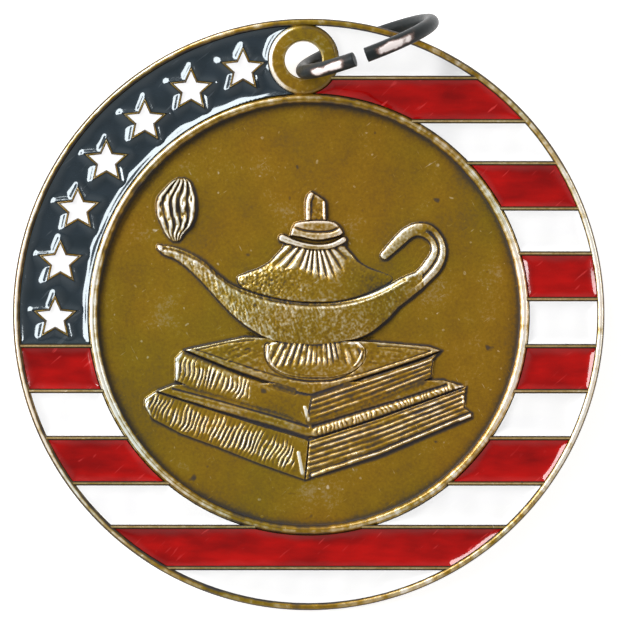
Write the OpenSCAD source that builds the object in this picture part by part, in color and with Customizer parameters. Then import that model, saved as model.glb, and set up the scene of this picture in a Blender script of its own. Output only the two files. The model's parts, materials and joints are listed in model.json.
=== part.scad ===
// Academic medallion: a struck disc with a raised lamp of learning on two books, a ring of enamelled
// stars and stripes round it, and a jump ring through the lug at the top. It lies face up and leans
// on the jump ring, which stands upright through the lug and reaches under the rim.
// The medal is drawn flat, with its back on z = 0 and the art's top towards +Y, and then seated.

/* [Medal] */
// Diameter over the rim
medal_d = 63.5; // [58:0.5:80]
// Thickness over the rim
medal_h = 3; // [2.8:0.1:4]
// Width of the raised rim
rim_w = 0.75; // [0.5:0.05:1.2]
// Bevel on the rim's upper and lower edges
edge_bevel = 0.4; // [0.1:0.05:0.5]
// Width of the enamelled band inside the rim
band_w = 7.3; // [6:0.1:9]
// Width of the raised ring between the band and the field
field_ring_w = 1; // [0.6:0.1:1.5]
// Metal under the sunk field
field_floor = 1.8; // [1:0.1:1.9]
// Metal under the enamel
cell_floor = 2.2; // [1:0.1:2.4]

/* [Back] */
// Diameter of the flat recess for an engraved plate
back_d = 47.6; // [20:0.2:50]
// Depth of that recess
back_depth = 0.3; // [0.1:0.05:0.5]

/* [Enamel] */
// Width of the walls between the stripes
wall_w = 0.4; // [0.2:0.05:0.6]
// How far the walls stand below the rim
wall_drop = 0.1; // [0.05:0.05:0.2]
// How far the enamel lies below the walls
enamel_drop = 0.08; // [0.02:0.02:0.2]
// Clearance between the enamel and the metal
enamel_gap = 0.04; // [0.02:0.01:0.08]
// Thickness of the metal outline round a star
star_wall = 0.16; // [0.1:0.02:0.2]
// Radius of a star, from its middle to the outer tip of its metal outline
star_r = 2.47; // [1.6:0.01:2.6]
// Radius of a star's inner corners, as a share of the radius of its tips
star_hollow = 0.47; // [0.4:0.01:0.5]
// Number of stars on the blue field
star_count = 7; // [3:1:7]
// Blue left between the lug and the first star
star_side = 0.27; // [0.2:0.01:0.6]
// Blue left between the last star's feet and the wall below it
star_foot = 0.82; // [0.4:0.02:1.5]

/* [Lug] */
// Bearing of the lug, counterclockwise from +X
lug_at = 91.2; // [90:0.1:92]
// Diameter of the lug's hole
lug_hole_d = 4; // [3.8:0.1:4.6]
// How deep the lug bites into the rim and the ring
lug_bite = 0.15; // [0.1:0.05:0.3]

/* [Jump ring] */
// Inner diameter of the jump ring
loop_d = 13.1; // [12.8:0.1:14.5]
// Diameter of its wire
wire_d = 1.6; // [1.2:0.1:1.8]
// Gap between the wire's two cut ends
loop_cut = 1.3; // [0.2:0.1:2]
// Place of the cut, counterclockwise round the loop from its outer tip
cut_at = 100; // [90:1:150]
// Direction of the loop, counterclockwise from +X
loop_turn = 21; // [15:0.1:26]
// Lean of the loop away from upright
loop_lean = 8.5; // [5:0.5:13]
// Height of the loop's centre over the medal's back
loop_up = 3.8; // [3.5:0.1:4.2]
// Gap between the wire and the hole's wall, where it lies against the hole's lower edge
seat_gap = 0.08; // [0.05:0.01:0.2]
// Share of the wire's sideways run through the lug that lies to the left of the hole's middle
seat_share = 0.4; // [0.35:0.05:0.5]

/* [Relief] */
// Height of the lamp over the field
lamp_h = 1.05; // [0.5:0.05:1.15]
// Height of the books over the field
books_h = 0.7; // [0.4:0.05:0.9]
// Height of the flame over the field
flame_h = 0.65; // [0.3:0.05:0.9]

/* [Hidden] */
$fn = 96;
// How deep the relief and the walls are rooted in the metal, and how far a cut runs past it.
relief_root = 0.14;
wall_root = 0.3;
cut_over = 1;
rim_r = medal_d / 2;
rim_in = rim_r - rim_w;
bevel = min(edge_bevel, 0.6 * rim_w);
ring_r = rim_in - band_w;
field_r = ring_r - field_ring_w;
wall_top = medal_h - wall_drop;
enamel_top = wall_top - enamel_drop;
enamel_floor = cell_floor + enamel_gap;
band_mid = (rim_in + ring_r) / 2;

// The walls between the stripes, from the top down, as shares of the rim's radius.
WALLS = [0.799, 0.653, 0.511, 0.358, 0.206, 0.052, -0.107, -0.259, -0.418, -0.571, -0.718, -0.857];
// How many walls stop at the blue field, and how many more the ring cuts in two.
right_wall_count = 6;
cut_wall_count = 5;
uncut_count = right_wall_count + cut_wall_count;

lug_xy = band_mid * [cos(lug_at), sin(lug_at)];
lug_r = band_w / 2 + lug_bite;

// Half the angle of a star's tip. The slimmer the tip, the more a wall takes off the radius.
star_tip = atan(star_hollow * sin(36) / (1 - star_hollow * cos(36)));
star_grow = 1 / sin(star_tip);
star_gap_r = star_r + enamel_gap * star_grow;
star_hole_r = star_r - star_wall * star_grow;
star_fill_r = star_hole_r - enamel_gap * star_grow;
star_orbit = ring_r + 0.48 * band_w;
// Bearings of the first star, beside the lug, and of the last one, above the wall under the blue field.
star_from = lug_at + 2 * asin((lug_r + star_side + star_r) / (2 * star_orbit));
star_low_y = WALLS[right_wall_count] * rim_r + wall_w / 2 + star_foot + star_r * cos(36);
star_step = (180 - asin(star_low_y / star_orbit) - star_from) / (star_count - 1);

// The loop is a circle about loop_xy in the plane of the level direction u and the rising direction w.
loop_r = (loop_d + wire_d) / 2;
loop_u = [cos(loop_turn), sin(loop_turn), 0];
loop_w = [sin(loop_lean) * sin(loop_turn), -sin(loop_lean) * cos(loop_turn), cos(loop_lean)];
loop_n = cross(loop_u, loop_w);
// The wire runs outwards on its way from the lug's face to its back. At the face it is at face_xy.
face_rise = (medal_h - loop_up) / loop_w.z;
back_rise = -loop_up / loop_w.z;
face_along = -sqrt(loop_r * loop_r - face_rise * face_rise);
back_along = -sqrt(loop_r * loop_r - back_rise * back_rise);
hole_room = (lug_hole_d - wire_d) / 2 - seat_gap;
face_left = seat_share * (back_along - face_along);
face_down = sqrt(hole_room * hole_room - face_left * face_left);
face_xy = [lug_xy.x - face_left * loop_u.x + face_down * loop_u.y,
           lug_xy.y - face_left * loop_u.y - face_down * loop_u.x];
loop_xy = [face_xy.x - face_along * loop_u.x - face_rise * loop_w.x,
           face_xy.y - face_along * loop_u.y - face_rise * loop_w.y];
cut_angle = 360 * loop_cut / (2 * PI * loop_r);

// The medal rests on its back edge and on the lowest point of the loop, so it rises towards the loop.
foot_rise = -loop_r;
foot_xy = [loop_xy.x + foot_rise * loop_w.x, loop_xy.y + foot_rise * loop_w.y];
foot_drop = loop_r * loop_w.z + wire_d / 2 - loop_up;
rest_r = rim_r - bevel;
foot_at = atan2(foot_xy.y, foot_xy.x);
tilt = atan2(foot_drop, norm(foot_xy) + rest_r);
lift = rest_r * sin(tilt);
loop_top_y = loop_xy.y + loop_r * sqrt(1 - loop_n.y * loop_n.y) + wire_d / 2;
shift_y = (rim_r - max(rim_r, loop_top_y)) / 2;

// Stripe names run from the top down: odd ones are white and even ones are red.
STRIPES = concat(
    [for (i = [0:uncut_count - 1]) [i, "right"]],
    [for (i = [right_wall_count + 1:uncut_count - 1]) [i, "left"]],
    [for (i = [uncut_count:len(WALLS)]) [i, "bottom"]]);
function stripe_name(s) = str(s[0] % 2 == 0 ? "white_" : "red_", s[0] + 1, "_", s[1]);
function star_name(i) = str("star_", i + 1);

// Relief tables. Lengths across the field are shares of its radius, and heights of the form's height.
// Lamp bowl, from the spout's lip to the handle: across, upper line, lower line, height.
BOWL = [
    [-0.719, 0.333, 0.314, 0.30],
    [-0.693, 0.330, 0.281, 0.38],
    [-0.627, 0.319, 0.252, 0.42],
    [-0.556, 0.290, 0.196, 0.48],
    [-0.490, 0.252, 0.129, 0.56],
    [-0.423, 0.193, 0.054, 0.66],
    [-0.357, 0.144, -0.012, 0.76],
    [-0.267, 0.106, -0.081, 0.88],
    [-0.168, 0.080, -0.129, 0.96],
    [-0.060, 0.063, -0.147, 1.00],
    [0.049, 0.059, -0.149, 1.00],
    [0.153, 0.066, -0.135, 0.98],
    [0.271, 0.094, -0.105, 0.92],
    [0.371, 0.137, -0.033, 0.80],
    [0.432, 0.172, 0.030, 0.70],
    [0.489, 0.196, 0.073, 0.60],
    [0.545, 0.210, 0.120, 0.50]];
// Handle, from the bowl round to its curled end: across, up, width, height.
HANDLE = [
    [0.451, 0.111, 0.095, 0.62],
    [0.517, 0.158, 0.090, 0.60],
    [0.578, 0.219, 0.085, 0.58],
    [0.614, 0.285, 0.090, 0.57],
    [0.607, 0.345, 0.080, 0.56],
    [0.569, 0.389, 0.073, 0.55],
    [0.517, 0.402, 0.076, 0.54],
    [0.470, 0.385, 0.066, 0.52],
    [0.422, 0.342, 0.057, 0.48],
    [0.380, 0.300, 0.047, 0.42],
    [0.356, 0.276, 0.024, 0.34]];
// Lid, neck rings and finial, from the bowl upwards: up, half width, height.
LID = [
    [0.078, 0.236, 0.80],
    [0.115, 0.340, 0.78],
    [0.172, 0.369, 0.74],
    [0.196, 0.331, 0.74],
    [0.219, 0.269, 0.73],
    [0.248, 0.217, 0.71],
    [0.285, 0.182, 0.66],
    [0.314, 0.156, 0.60],
    [0.328, 0.163, 0.72],
    [0.359, 0.161, 0.72],
    [0.371, 0.135, 0.55],
    [0.394, 0.128, 0.64],
    [0.418, 0.121, 0.66],
    [0.434, 0.099, 0.52],
    [0.448, 0.050, 0.40],
    [0.493, 0.052, 0.50],
    [0.536, 0.050, 0.48],
    [0.564, 0.033, 0.40],
    [0.581, 0.014, 0.30]];
lid_share = 0.028;
// Foot of the lamp, from the books upwards: up, half width, height.
FOOT = [
    [-0.304, 0.057, 0.72],
    [-0.291, 0.132, 0.82],
    [-0.272, 0.180, 0.88],
    [-0.249, 0.210, 0.90],
    [-0.220, 0.234, 0.86],
    [-0.182, 0.241, 0.82],
    [-0.154, 0.236, 0.80],
    [-0.126, 0.208, 0.78]];
foot_share = 0.033;
// Flame, from its root upwards: up, left edge, right edge, height.
FLAME = [
    [0.342, -0.643, -0.617, 0.45],
    [0.356, -0.660, -0.603, 0.60],
    [0.380, -0.681, -0.589, 0.75],
    [0.418, -0.700, -0.553, 0.90],
    [0.474, -0.721, -0.531, 1.00],
    [0.545, -0.721, -0.531, 1.00],
    [0.597, -0.683, -0.544, 0.85],
    [0.630, -0.650, -0.560, 0.65],
    [0.647, -0.622, -0.589, 0.45]];
// Corners of the two closed books: the cover on top, the spine's side and the side with the pages.
UPPER_COVER = [[-0.594, -0.168], [-0.543, -0.156], [-0.302, -0.105], [0.298, -0.126],
    [0.575, -0.150], [0.632, -0.171], [0.515, -0.219], [0.250, -0.304], [0.018, -0.382],
    [-0.078, -0.364], [-0.326, -0.280]];
UPPER_SPINE = [[-0.594, -0.168], [-0.326, -0.280], [-0.078, -0.364], [0.018, -0.382],
    [-0.012, -0.523], [-0.096, -0.479], [-0.332, -0.412], [-0.543, -0.352], [-0.633, -0.316],
    [-0.633, -0.207]];
UPPER_PAGES = [[0.018, -0.382], [0.250, -0.304], [0.515, -0.219], [0.632, -0.171],
    [0.588, -0.216], [0.581, -0.301], [0.290, -0.419], [-0.012, -0.523]];
LOWER_COVER = [[-0.724, -0.364], [-0.636, -0.329], [0.635, -0.308], [0.747, -0.340],
    [0.337, -0.490], [0.002, -0.598], [-0.018, -0.587], [-0.241, -0.521], [-0.483, -0.442]];
LOWER_SPINE = [[-0.724, -0.364], [-0.483, -0.442], [-0.241, -0.521], [-0.018, -0.587],
    [0.002, -0.598], [-0.017, -0.786], [-0.121, -0.750], [-0.241, -0.707], [-0.422, -0.635],
    [-0.603, -0.569], [-0.741, -0.497], [-0.778, -0.436], [-0.778, -0.400]];
LOWER_PAGES = [[0.002, -0.598], [0.337, -0.490], [0.747, -0.340], [0.738, -0.438],
    [0.774, -0.466], [0.774, -0.491], [0.334, -0.678], [-0.017, -0.786]];

// Puts what is drawn flat where it lies: tilted up towards the loop, with the lowest points on z = 0.
module seated() {
    translate([0, shift_y, lift])
        rotate(a = tilt, v = [sin(foot_at), -cos(foot_at), 0])
            children();
}

// A point on the smooth curve through b and c, with a and d as their neighbours.
function curve_point(a, b, c, d, t) = 0.5 * (2 * b + (c - a) * t
    + (2 * a - 5 * b + 4 * c - d) * t * t + (3 * b - a - 3 * c + d) * t * t * t);
// The rows of a table with extra ones between them on a smooth curve.
function refined(rows, n) = concat(
    [for (i = [0:len(rows) - 2]) for (k = [0:n - 1])
        curve_point(rows[max(i - 1, 0)], rows[i], rows[i + 1],
            rows[min(i + 2, len(rows) - 1)], k / n)],
    [rows[len(rows) - 1]]);

ARCH_STEPS = 8;
ARCH_SHOULDER = 0.35;
// One section of a raised form: up from a foot point, over an arch and down to the other foot point.
function arch(left, right, top, sink) = concat(
    [[left.x, left.y, -sink]],
    [for (i = [0:ARCH_STEPS])
        let (t = i / ARCH_STEPS, p = left + (right - left) * t)
        [p.x, p.y, top * (ARCH_SHOULDER + (1 - ARCH_SHOULDER) * pow(sin(180 * t), 0.7))]],
    [[right.x, right.y, -sink]]);

// A raised form lofted through sections, each with its left foot, right foot and height.
module raised_form(sections, sink) {
    rings = [for (s = sections) arch(s[0], s[1], s[2], sink)];
    m = len(rings[0]);
    n = len(rings);
    polyhedron(
        points = [for (ring = rings) for (p = ring) p],
        faces = concat(
            [[for (i = [0:m - 1]) i]],
            [[for (i = [m - 1:-1:0]) (n - 1) * m + i]],
            [for (k = [0:n - 2]) for (i = [0:m - 1])
                let (a = k * m + i, b = k * m + (i + 1) % m, c = b + m, d = a + m)
                each [[a, d, c], [a, c, b]]]));
}

// A turned form seen from the side, such as the lid or the foot, about an upright line.
module turned_form(rows, x, h, sink) {
    raised_form([for (r = rows) [
        field_r * [x - r[1], r[0]],
        field_r * [x + r[1], r[0]],
        h * r[2]]], sink);
}

// A flat step of a book.
module slab(corners, h, sink) {
    translate([0, 0, -sink])
        linear_extrude(h + sink) polygon(field_r * corners);
}

module lamp() {
    raised_form([for (r = refined(BOWL, 2)) [
        field_r * [r[0], r[1]],
        field_r * [r[0], r[2]],
        lamp_h * r[3]]], relief_root);
    path = refined(HANDLE, 3);
    last = len(path) - 1;
    raised_form([for (i = [0:last])
        let (p = [path[i][0], path[i][1]],
            ahead = path[min(i + 1, last)] - path[max(i - 1, 0)],
            side = [-ahead.y, ahead.x] / norm([ahead.x, ahead.y]) * path[i][2] / 2)
        [field_r * (p + side), field_r * (p - side), lamp_h * path[i][3]]], 2 * relief_root);
    turned_form(LID, lid_share, lamp_h, 2.5 * relief_root);
    turned_form(FOOT, foot_share, lamp_h, 3 * relief_root);
}

module flame() {
    raised_form([for (r = refined(FLAME, 2)) [
        field_r * [r[1], r[0]],
        field_r * [r[2], r[0]],
        flame_h * r[3]]], relief_root);
}

module book(cover, spine, pages, h, sink) {
    slab(spine, 0.8 * h, sink);
    slab(pages, 0.6 * h, sink);
    slab(cover, h, sink);
}

// The disc: rim, sunk band for the enamel, ring, sunk field, and the recess in its back.
module disc() {
    rotate_extrude() polygon([
        [0, back_depth], [back_d / 2, back_depth], [back_d / 2, 0], [rim_r - bevel, 0],
        [rim_r, bevel], [rim_r, medal_h - bevel], [rim_r - bevel, medal_h], [rim_in, medal_h],
        [rim_in, cell_floor], [ring_r, cell_floor], [ring_r, wall_top], [field_r, wall_top],
        [field_r, field_floor], [0, field_floor]]);
}

// A round band between two radii.
module band(r_in, r_out, z, h) {
    translate([0, 0, z]) difference() {
        cylinder(r = r_out, h = h);
        translate([0, 0, -cut_over]) cylinder(r = r_in, h = h + 2 * cut_over);
    }
}

// The part of the plane that a stripe or a wall takes: all of it, or one side of the lug.
module side_box(y_low, y_high, side, z, h) {
    x_low = side == "right" ? lug_xy.x : -rim_r;
    x_high = side == "left" ? lug_xy.x : rim_r;
    translate([x_low, y_low, z]) cube([x_high - x_low, y_high - y_low, h]);
}

module stripe_walls() {
    h = wall_top - cell_floor + wall_root;
    intersection() {
        band(ring_r - wall_root, rim_in + wall_root, cell_floor - wall_root, h);
        for (i = [0:len(WALLS) - 1]) {
            y = WALLS[i] * rim_r;
            side_box(y - wall_w / 2, y + wall_w / 2, i < right_wall_count ? "right" : "both",
                cell_floor - wall_root - cut_over, h + 2 * cut_over);
        }
    }
}

module star_shape(r) {
    polygon([for (i = [0:9]) (i % 2 == 0 ? r : r * star_hollow) * [cos(90 + 36 * i), sin(90 + 36 * i)]]);
}

module at_star(i) {
    a = star_from + i * star_step;
    translate(star_orbit * [cos(a), sin(a)]) children();
}

module star_walls() {
    for (i = [0:star_count - 1])
        at_star(i) translate([0, 0, cell_floor - wall_root])
            linear_extrude(wall_top - cell_floor + wall_root) difference() {
                star_shape(star_r);
                star_shape(star_hole_r);
            }
}

module medal() {
    color("goldenrod") seated() difference() {
        union() {
            disc();
            stripe_walls();
            star_walls();
            translate([lug_xy.x, lug_xy.y, cell_floor - wall_root])
                cylinder(r = lug_r, h = medal_h - cell_floor + wall_root);
            translate([0, 0, field_floor]) {
                book(LOWER_COVER, LOWER_SPINE, LOWER_PAGES, 0.8 * books_h, 3.5 * relief_root);
                book(UPPER_COVER, UPPER_SPINE, UPPER_PAGES, books_h, 4 * relief_root);
                lamp();
                flame();
            }
        }
        translate([lug_xy.x, lug_xy.y, -cut_over])
            cylinder(d = lug_hole_d, h = medal_h + 2 * cut_over);
    }
}

// What a filling of enamel takes between two heights across the band, clear of the metal.
module filling(y_low, y_high, side) {
    h = enamel_top - enamel_floor;
    difference() {
        intersection() {
            band(ring_r + enamel_gap, rim_in - enamel_gap, enamel_floor, h);
            side_box(y_low, y_high, side, enamel_floor - cut_over, h + 2 * cut_over);
        }
        translate([lug_xy.x, lug_xy.y, enamel_floor - cut_over])
            cylinder(r = lug_r + enamel_gap, h = h + 2 * cut_over);
    }
}

module stripe(s) {
    clear = wall_w / 2 + enamel_gap;
    y_high = s[0] == 0 ? rim_r : WALLS[s[0] - 1] * rim_r - clear;
    y_low = s[0] == len(WALLS) ? -rim_r : WALLS[s[0]] * rim_r + clear;
    color(s[0] % 2 == 0 ? "white" : "firebrick") seated() filling(y_low, y_high, s[1]);
}

module blue_field() {
    color("darkslategray") seated() difference() {
        filling(WALLS[right_wall_count] * rim_r + wall_w / 2 + enamel_gap, rim_r, "left");
        for (i = [0:star_count - 1])
            at_star(i) translate([0, 0, enamel_floor - cut_over])
                linear_extrude(enamel_top - enamel_floor + 2 * cut_over) star_shape(star_gap_r);
    }
}

module star(i) {
    color("white") seated() at_star(i) translate([0, 0, enamel_floor])
        linear_extrude(enamel_top - enamel_floor) star_shape(star_fill_r);
}

module jump_ring() {
    color("dimgray") seated()
        translate([loop_xy.x, loop_xy.y, loop_up])
            rotate([90 + loop_lean, 0, loop_turn])
                rotate([0, 0, cut_at + cut_angle / 2])
                    rotate_extrude(angle = 360 - cut_angle)
                        translate([loop_r, 0]) circle(d = wire_d);
}

medal();
blue_field();
jump_ring();
for (i = [0:star_count - 1]) star(i);
for (s = STRIPES) stripe(s);
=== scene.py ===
import json
import math

import bmesh
import bpy
import numpy as np
from mathutils import Matrix, Vector
from mathutils.geometry import delaunay_2d_cdt


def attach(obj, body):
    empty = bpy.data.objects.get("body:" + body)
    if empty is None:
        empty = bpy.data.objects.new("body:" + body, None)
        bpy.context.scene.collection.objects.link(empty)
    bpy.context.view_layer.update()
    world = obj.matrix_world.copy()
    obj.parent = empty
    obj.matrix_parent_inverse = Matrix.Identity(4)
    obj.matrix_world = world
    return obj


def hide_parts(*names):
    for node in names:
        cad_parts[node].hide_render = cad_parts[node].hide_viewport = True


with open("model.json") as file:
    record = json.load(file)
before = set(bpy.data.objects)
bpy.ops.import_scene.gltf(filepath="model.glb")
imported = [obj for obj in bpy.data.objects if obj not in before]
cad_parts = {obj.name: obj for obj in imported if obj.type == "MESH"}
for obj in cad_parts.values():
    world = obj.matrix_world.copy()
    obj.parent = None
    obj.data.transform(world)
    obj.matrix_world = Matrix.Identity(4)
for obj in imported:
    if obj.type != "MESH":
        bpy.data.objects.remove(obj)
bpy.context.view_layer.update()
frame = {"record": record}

# The medal lies face up on a white table. It leans on its jump ring, so its face is tilted a little.
# Every piece is drawn flat in millimetres, with the medal's back on z = 0 and the art's top towards +Y,
# and then seated where the frame has the medal's back.
mounts = {m["name"]: m for m in frame["record"]["mounts"]}
back_depth = 0.3
face_up = -Vector(mounts["back_recess"]["axis"]).normalized()
tilt = Vector((0, 0, 1)).rotation_difference(face_up).to_matrix().to_4x4()
seat = (Matrix.Translation(mounts["back_recess"]["pos_m"]) @ tilt @ Matrix.Scale(0.001, 4)
        @ Matrix.Translation((0, 0, -back_depth)))


def placed(name, data):
    """A new object in the scene."""
    made = bpy.data.objects.new(name, data)
    bpy.context.collection.objects.link(made)
    return made


# The camera looks straight down on the face, as the photograph does, from far enough to keep it flat.
view_height = 67.68
view_shift = Vector((0.257, -0.118, 2.9))
camera_far = 0.7
sensor = 36
camera_data = bpy.data.cameras.new("camera")
camera_data.sensor_width = sensor
camera_data.lens = sensor * camera_far / (0.001 * view_height)
camera_data.clip_end = 5
camera = placed("camera", camera_data)
picture_up = (Vector((0, 1, 0)) - face_up * face_up.y).normalized()
picture_right = picture_up.cross(face_up)
camera.matrix_world = Matrix.Translation(seat @ view_shift + camera_far * face_up) @ Matrix(
    (picture_right, picture_up, face_up)).transposed().to_4x4()
bpy.context.scene.camera = camera
bpy.context.scene.view_settings.view_transform = "Standard"

# A long strip softbox on the left draws the bright edges, and a short one on the right fills the others.
# The room is dark overhead, so that level metal and enamel keep their colour, and bright at the sides.
softbox_far = 0.9


def softbox(name, bearing, rise, length, width, power):
    """A rectangular lamp that looks at the medal, from a bearing and a rise in degrees."""
    light = bpy.data.lights.new(name, "AREA")
    light.shape = "RECTANGLE"
    light.size = length
    light.size_y = width
    light.energy = power
    b = math.radians(bearing)
    r = math.radians(rise)
    away = Vector((math.cos(b) * math.cos(r), math.sin(b) * math.cos(r), math.sin(r)))
    placed(name, light).matrix_world = (Matrix.Translation(softbox_far * away)
                                        @ away.to_track_quat("Z", "Y").to_matrix().to_4x4())


def fill(tree, node, values):
    """Links or sets a node's inputs, by name with _ for a blank, or by place as i0, i1 and so on."""
    for key, value in values.items():
        socket = node.inputs[int(key[1:]) if key[1:].isdigit() else key.replace("_", " ")]
        if isinstance(value, bpy.types.NodeSocket):
            tree.links.new(value, socket)
        else:
            socket.default_value = value


def node_maker(tree):
    """What adds a node to a tree, with its settings and its inputs."""
    def add(kind, settings=None, **values):
        made = tree.nodes.new(kind)
        for key, value in (settings or {}).items():
            setattr(made, key, value)
        fill(tree, made, values)
        return made

    return add


def ramp(add, factor, stops):
    """A colour ramp through (place, colour) stops."""
    made = add("ShaderNodeValToRGB", Fac=factor)
    bar = made.color_ramp
    while len(bar.elements) < len(stops):
        bar.elements.new(0.5)
    for element, (place, colour) in zip(bar.elements, stops):
        element.position = place
        element.color = (*colour, 1)
    return made.outputs["Color"]


softbox("left_softbox", 148, 45, 1.2, 0.24, 9)
softbox("low_left_softbox", 165, 14, 0.9, 0.12, 2.4)
softbox("right_softbox", 8, 38, 0.45, 0.07, 1.2)
world = bpy.data.worlds.new("room")
world.use_nodes = True
add = node_maker(world.node_tree)
upwards = add("ShaderNodeSeparateXYZ", i0=add("ShaderNodeTexCoord").outputs["Generated"]).outputs["Z"]
room_light = ramp(add, upwards, [(0.1, (0.95, 0.94, 0.92)), (0.95, (0.16, 0.16, 0.16))])
fill(world.node_tree, world.node_tree.nodes["Background"], {"Color": room_light, "Strength": 0.8})
bpy.context.scene.world = world


# The table: a sheet of matt white paper that lies flat under the medal. It glows a little, as on a light
# table, because the photograph's ground is pure white.
def new_material(name):
    """A material, what adds nodes to it, and what fills its shader's inputs."""
    material = bpy.data.materials.new(name)
    material.use_nodes = True
    tree = material.node_tree

    def dress(**values):
        fill(tree, tree.nodes["Principled BSDF"], values)

    return material, node_maker(tree), dress


def noise(add, vector, scale, detail, **more):
    return add("ShaderNodeTexNoise", Vector=vector, Scale=scale, Detail=detail, **more).outputs["Fac"]


def object_place(add):
    return add("ShaderNodeTexCoord").outputs["Object"]


paper, add, dress = new_material("white_paper")
fibre = noise(add, object_place(add), 900, 4)
dress(Base_Color=ramp(add, fibre, [(0.3, (0.86, 0.86, 0.86)), (0.7, (0.89, 0.89, 0.89))]),
      Roughness=0.9, Emission_Color=(1, 1, 1, 1), Emission_Strength=0.7)
table_half = 1.5
table_mesh = bpy.data.meshes.new("table")
table_mesh.from_pydata([(-table_half, -table_half, 0), (table_half, -table_half, 0),
                        (table_half, table_half, 0), (-table_half, table_half, 0)], [], [(0, 1, 2, 3)])
table_mesh.materials.append(paper)
table = placed("table", table_mesh)

# The medal's body: one struck disc of brass, browned with a patina and rubbed bright on its edges.
# The die gives it a rim bead, a sunk band for the enamels, a raised ring, a sunk field and the lug.
medal_r = 31.75
medal_h = 3
rim_w = 0.75
edge_bevel = 0.39
band_w = 7.3
ring_w = 1
wall_top = 2.9
cell_floor = 2.2
field_floor = 1.8
back_r = 23.8
rim_in = medal_r - rim_w
ring_r = rim_in - band_w
field_r = ring_r - ring_w
band_mid = (rim_in + ring_r) / 2
lug_at = math.radians(91.2)
lug = Vector((band_mid * math.cos(lug_at), band_mid * math.sin(lug_at)))
lug_lap = 0.15
lug_r = band_w / 2 + lug_lap
lug_hole_r = 2
turn_steps = 480
lug_steps = 144


def maths(add, operation, *values):
    """A sum, product or the like of numbers and sockets."""
    inputs = {f"i{i}": value for i, value in enumerate(values)}
    return add("ShaderNodeMath", {"operation": operation}, **inputs).outputs[0]


def spread(add, value, low, high, to_low, to_high):
    """A value's stretch from low to high, laid on the stretch from to_low to to_high."""
    return add("ShaderNodeMapRange", i0=value, i1=low, i2=high, i3=to_low, i4=to_high).outputs[0]


def scratches(add, vector, turn, sizes, detail, **more):
    """Noise drawn out into straight scratches, which are turned about the medal's axis."""
    drawn = add("ShaderNodeMapping", {"vector_type": "TEXTURE"}, Vector=vector, Rotation=(0, 0, turn),
                Scale=[1 / size for size in sizes]).outputs["Vector"]
    return noise(add, drawn, 1, detail, **more)


def bumped(add, height, strength, distance):
    return add("ShaderNodeBump", Strength=strength, Distance=distance, Height=height).outputs["Normal"]


# Worn edges are pale, the flat metal is olive and the hollows are nearly black. Each brass mesh carries
# this as its "tone", from 0 in a hollow over 0.5 on flat metal to 1 on a rubbed edge. The tone also
# holds painted light and shade: sides painted lighter or darker, painted shadows and painted highlights.
brass, add, dress = new_material("antiqued_brass")
coords = object_place(add)
tone = add("ShaderNodeAttribute", {"attribute_name": "tone"}).outputs["Fac"]
mottle = noise(add, coords, 170, 7, Roughness=0.62)
grain = noise(add, coords, 3200, 3, Roughness=0.6)
rub_and_painted_glint = maths(add, "MAXIMUM", scratches(add, coords, 0.6, (500, 4200, 260), 2),
               scratches(add, coords, -1.1, (600, 5000, 420), 2))
toned = tone
for part in (spread(add, rub_and_painted_glint, 0.7, 0.84, 0, 0.28),
             spread(add, noise(add, coords, 1700, 0), 0.81, 0.85, 0, 0.16),
             spread(add, noise(add, coords, 620, 1), 0.74, 0.8, 0, -0.3),
             spread(add, grain, 0.25, 0.75, -0.07, 0.07),
             spread(add, mottle, 0.3, 0.7, -0.09, 0.09)):
    toned = maths(add, "ADD", toned, part)
brass_colour = ramp(add, toned, [
    (0.08, (0.034, 0.026, 0.028)),
    (0.30, (0.10, 0.060, 0.016)),
    (0.46, (0.29, 0.152, 0.002)),
    (0.56, (0.41, 0.225, 0.004)),
    (0.72, (0.70, 0.52, 0.26)),
    (0.90, (1.0, 0.90, 0.78))])
drift = ramp(add, noise(add, coords, 75, 3), [
    (0.36, (0.88, 1.04, 1.1)), (0.5, (0.97, 1.03, 1.05)), (0.66, (1.04, 1.0, 0.95))])
tinted = add("ShaderNodeMix", {"data_type": "RGBA", "blend_type": "MULTIPLY"}, i0=1, i6=brass_colour,
             i7=drift)
metal_share = ramp(add, toned, [(0.1, (0.2, 0.2, 0.2)), (0.5, (0.6, 0.6, 0.6)), (0.62, (0.66, 0.66, 0.66)),
                                (0.86, (0.35, 0.35, 0.35))])
dress(Base_Color=tinted.outputs[2], Metallic=metal_share, Roughness=spread(add, toned, 0.1, 0.9, 0.55, 0.3),
      Coat_Weight=spread(add, tone, 0.22, 0.3, 0, 0.5), Coat_Roughness=0.16, Coat_IOR=1.7,
      Normal=bumped(add, grain, 0.25, 0.00002))


def line_object(name, points, edges):
    """Lines for a node tree to read. They aren't shown and are removed after use."""
    mesh = bpy.data.meshes.new(name)
    mesh.from_pydata(points, edges, [])
    return placed(name, mesh)


def new_tree(name, inputs):
    """An empty Geometry Nodes tree, its named inputs, what adds nodes to it, and what ends it."""
    tree = bpy.data.node_groups.new(name, "GeometryNodeTree")
    tree.interface.new_socket("Geometry", in_out="OUTPUT", socket_type="NodeSocketGeometry")
    for label, kind in inputs.items():
        tree.interface.new_socket(label, in_out="INPUT", socket_type="NodeSocket" + kind)
    group = tree.nodes.new("NodeGroupInput").outputs
    add = node_maker(tree)

    def close(geometry):
        real = add("GeometryNodeRealizeInstances", Geometry=geometry).outputs[0]
        dressed = add("GeometryNodeSetMaterial", Geometry=real, Material=group["Material"]).outputs[0]
        add("NodeGroupOutput", i0=dressed)

    return tree, group, add, close


def made_plain(carrier, modifier):
    """The plain mesh of an object under its modifier. Both are removed."""
    bpy.context.view_layer.update()
    ready = carrier.evaluated_get(bpy.context.evaluated_depsgraph_get())
    mesh = bpy.data.meshes.new_from_object(ready)
    carrier.modifiers.remove(modifier)
    bpy.data.objects.remove(carrier)
    return mesh


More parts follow.
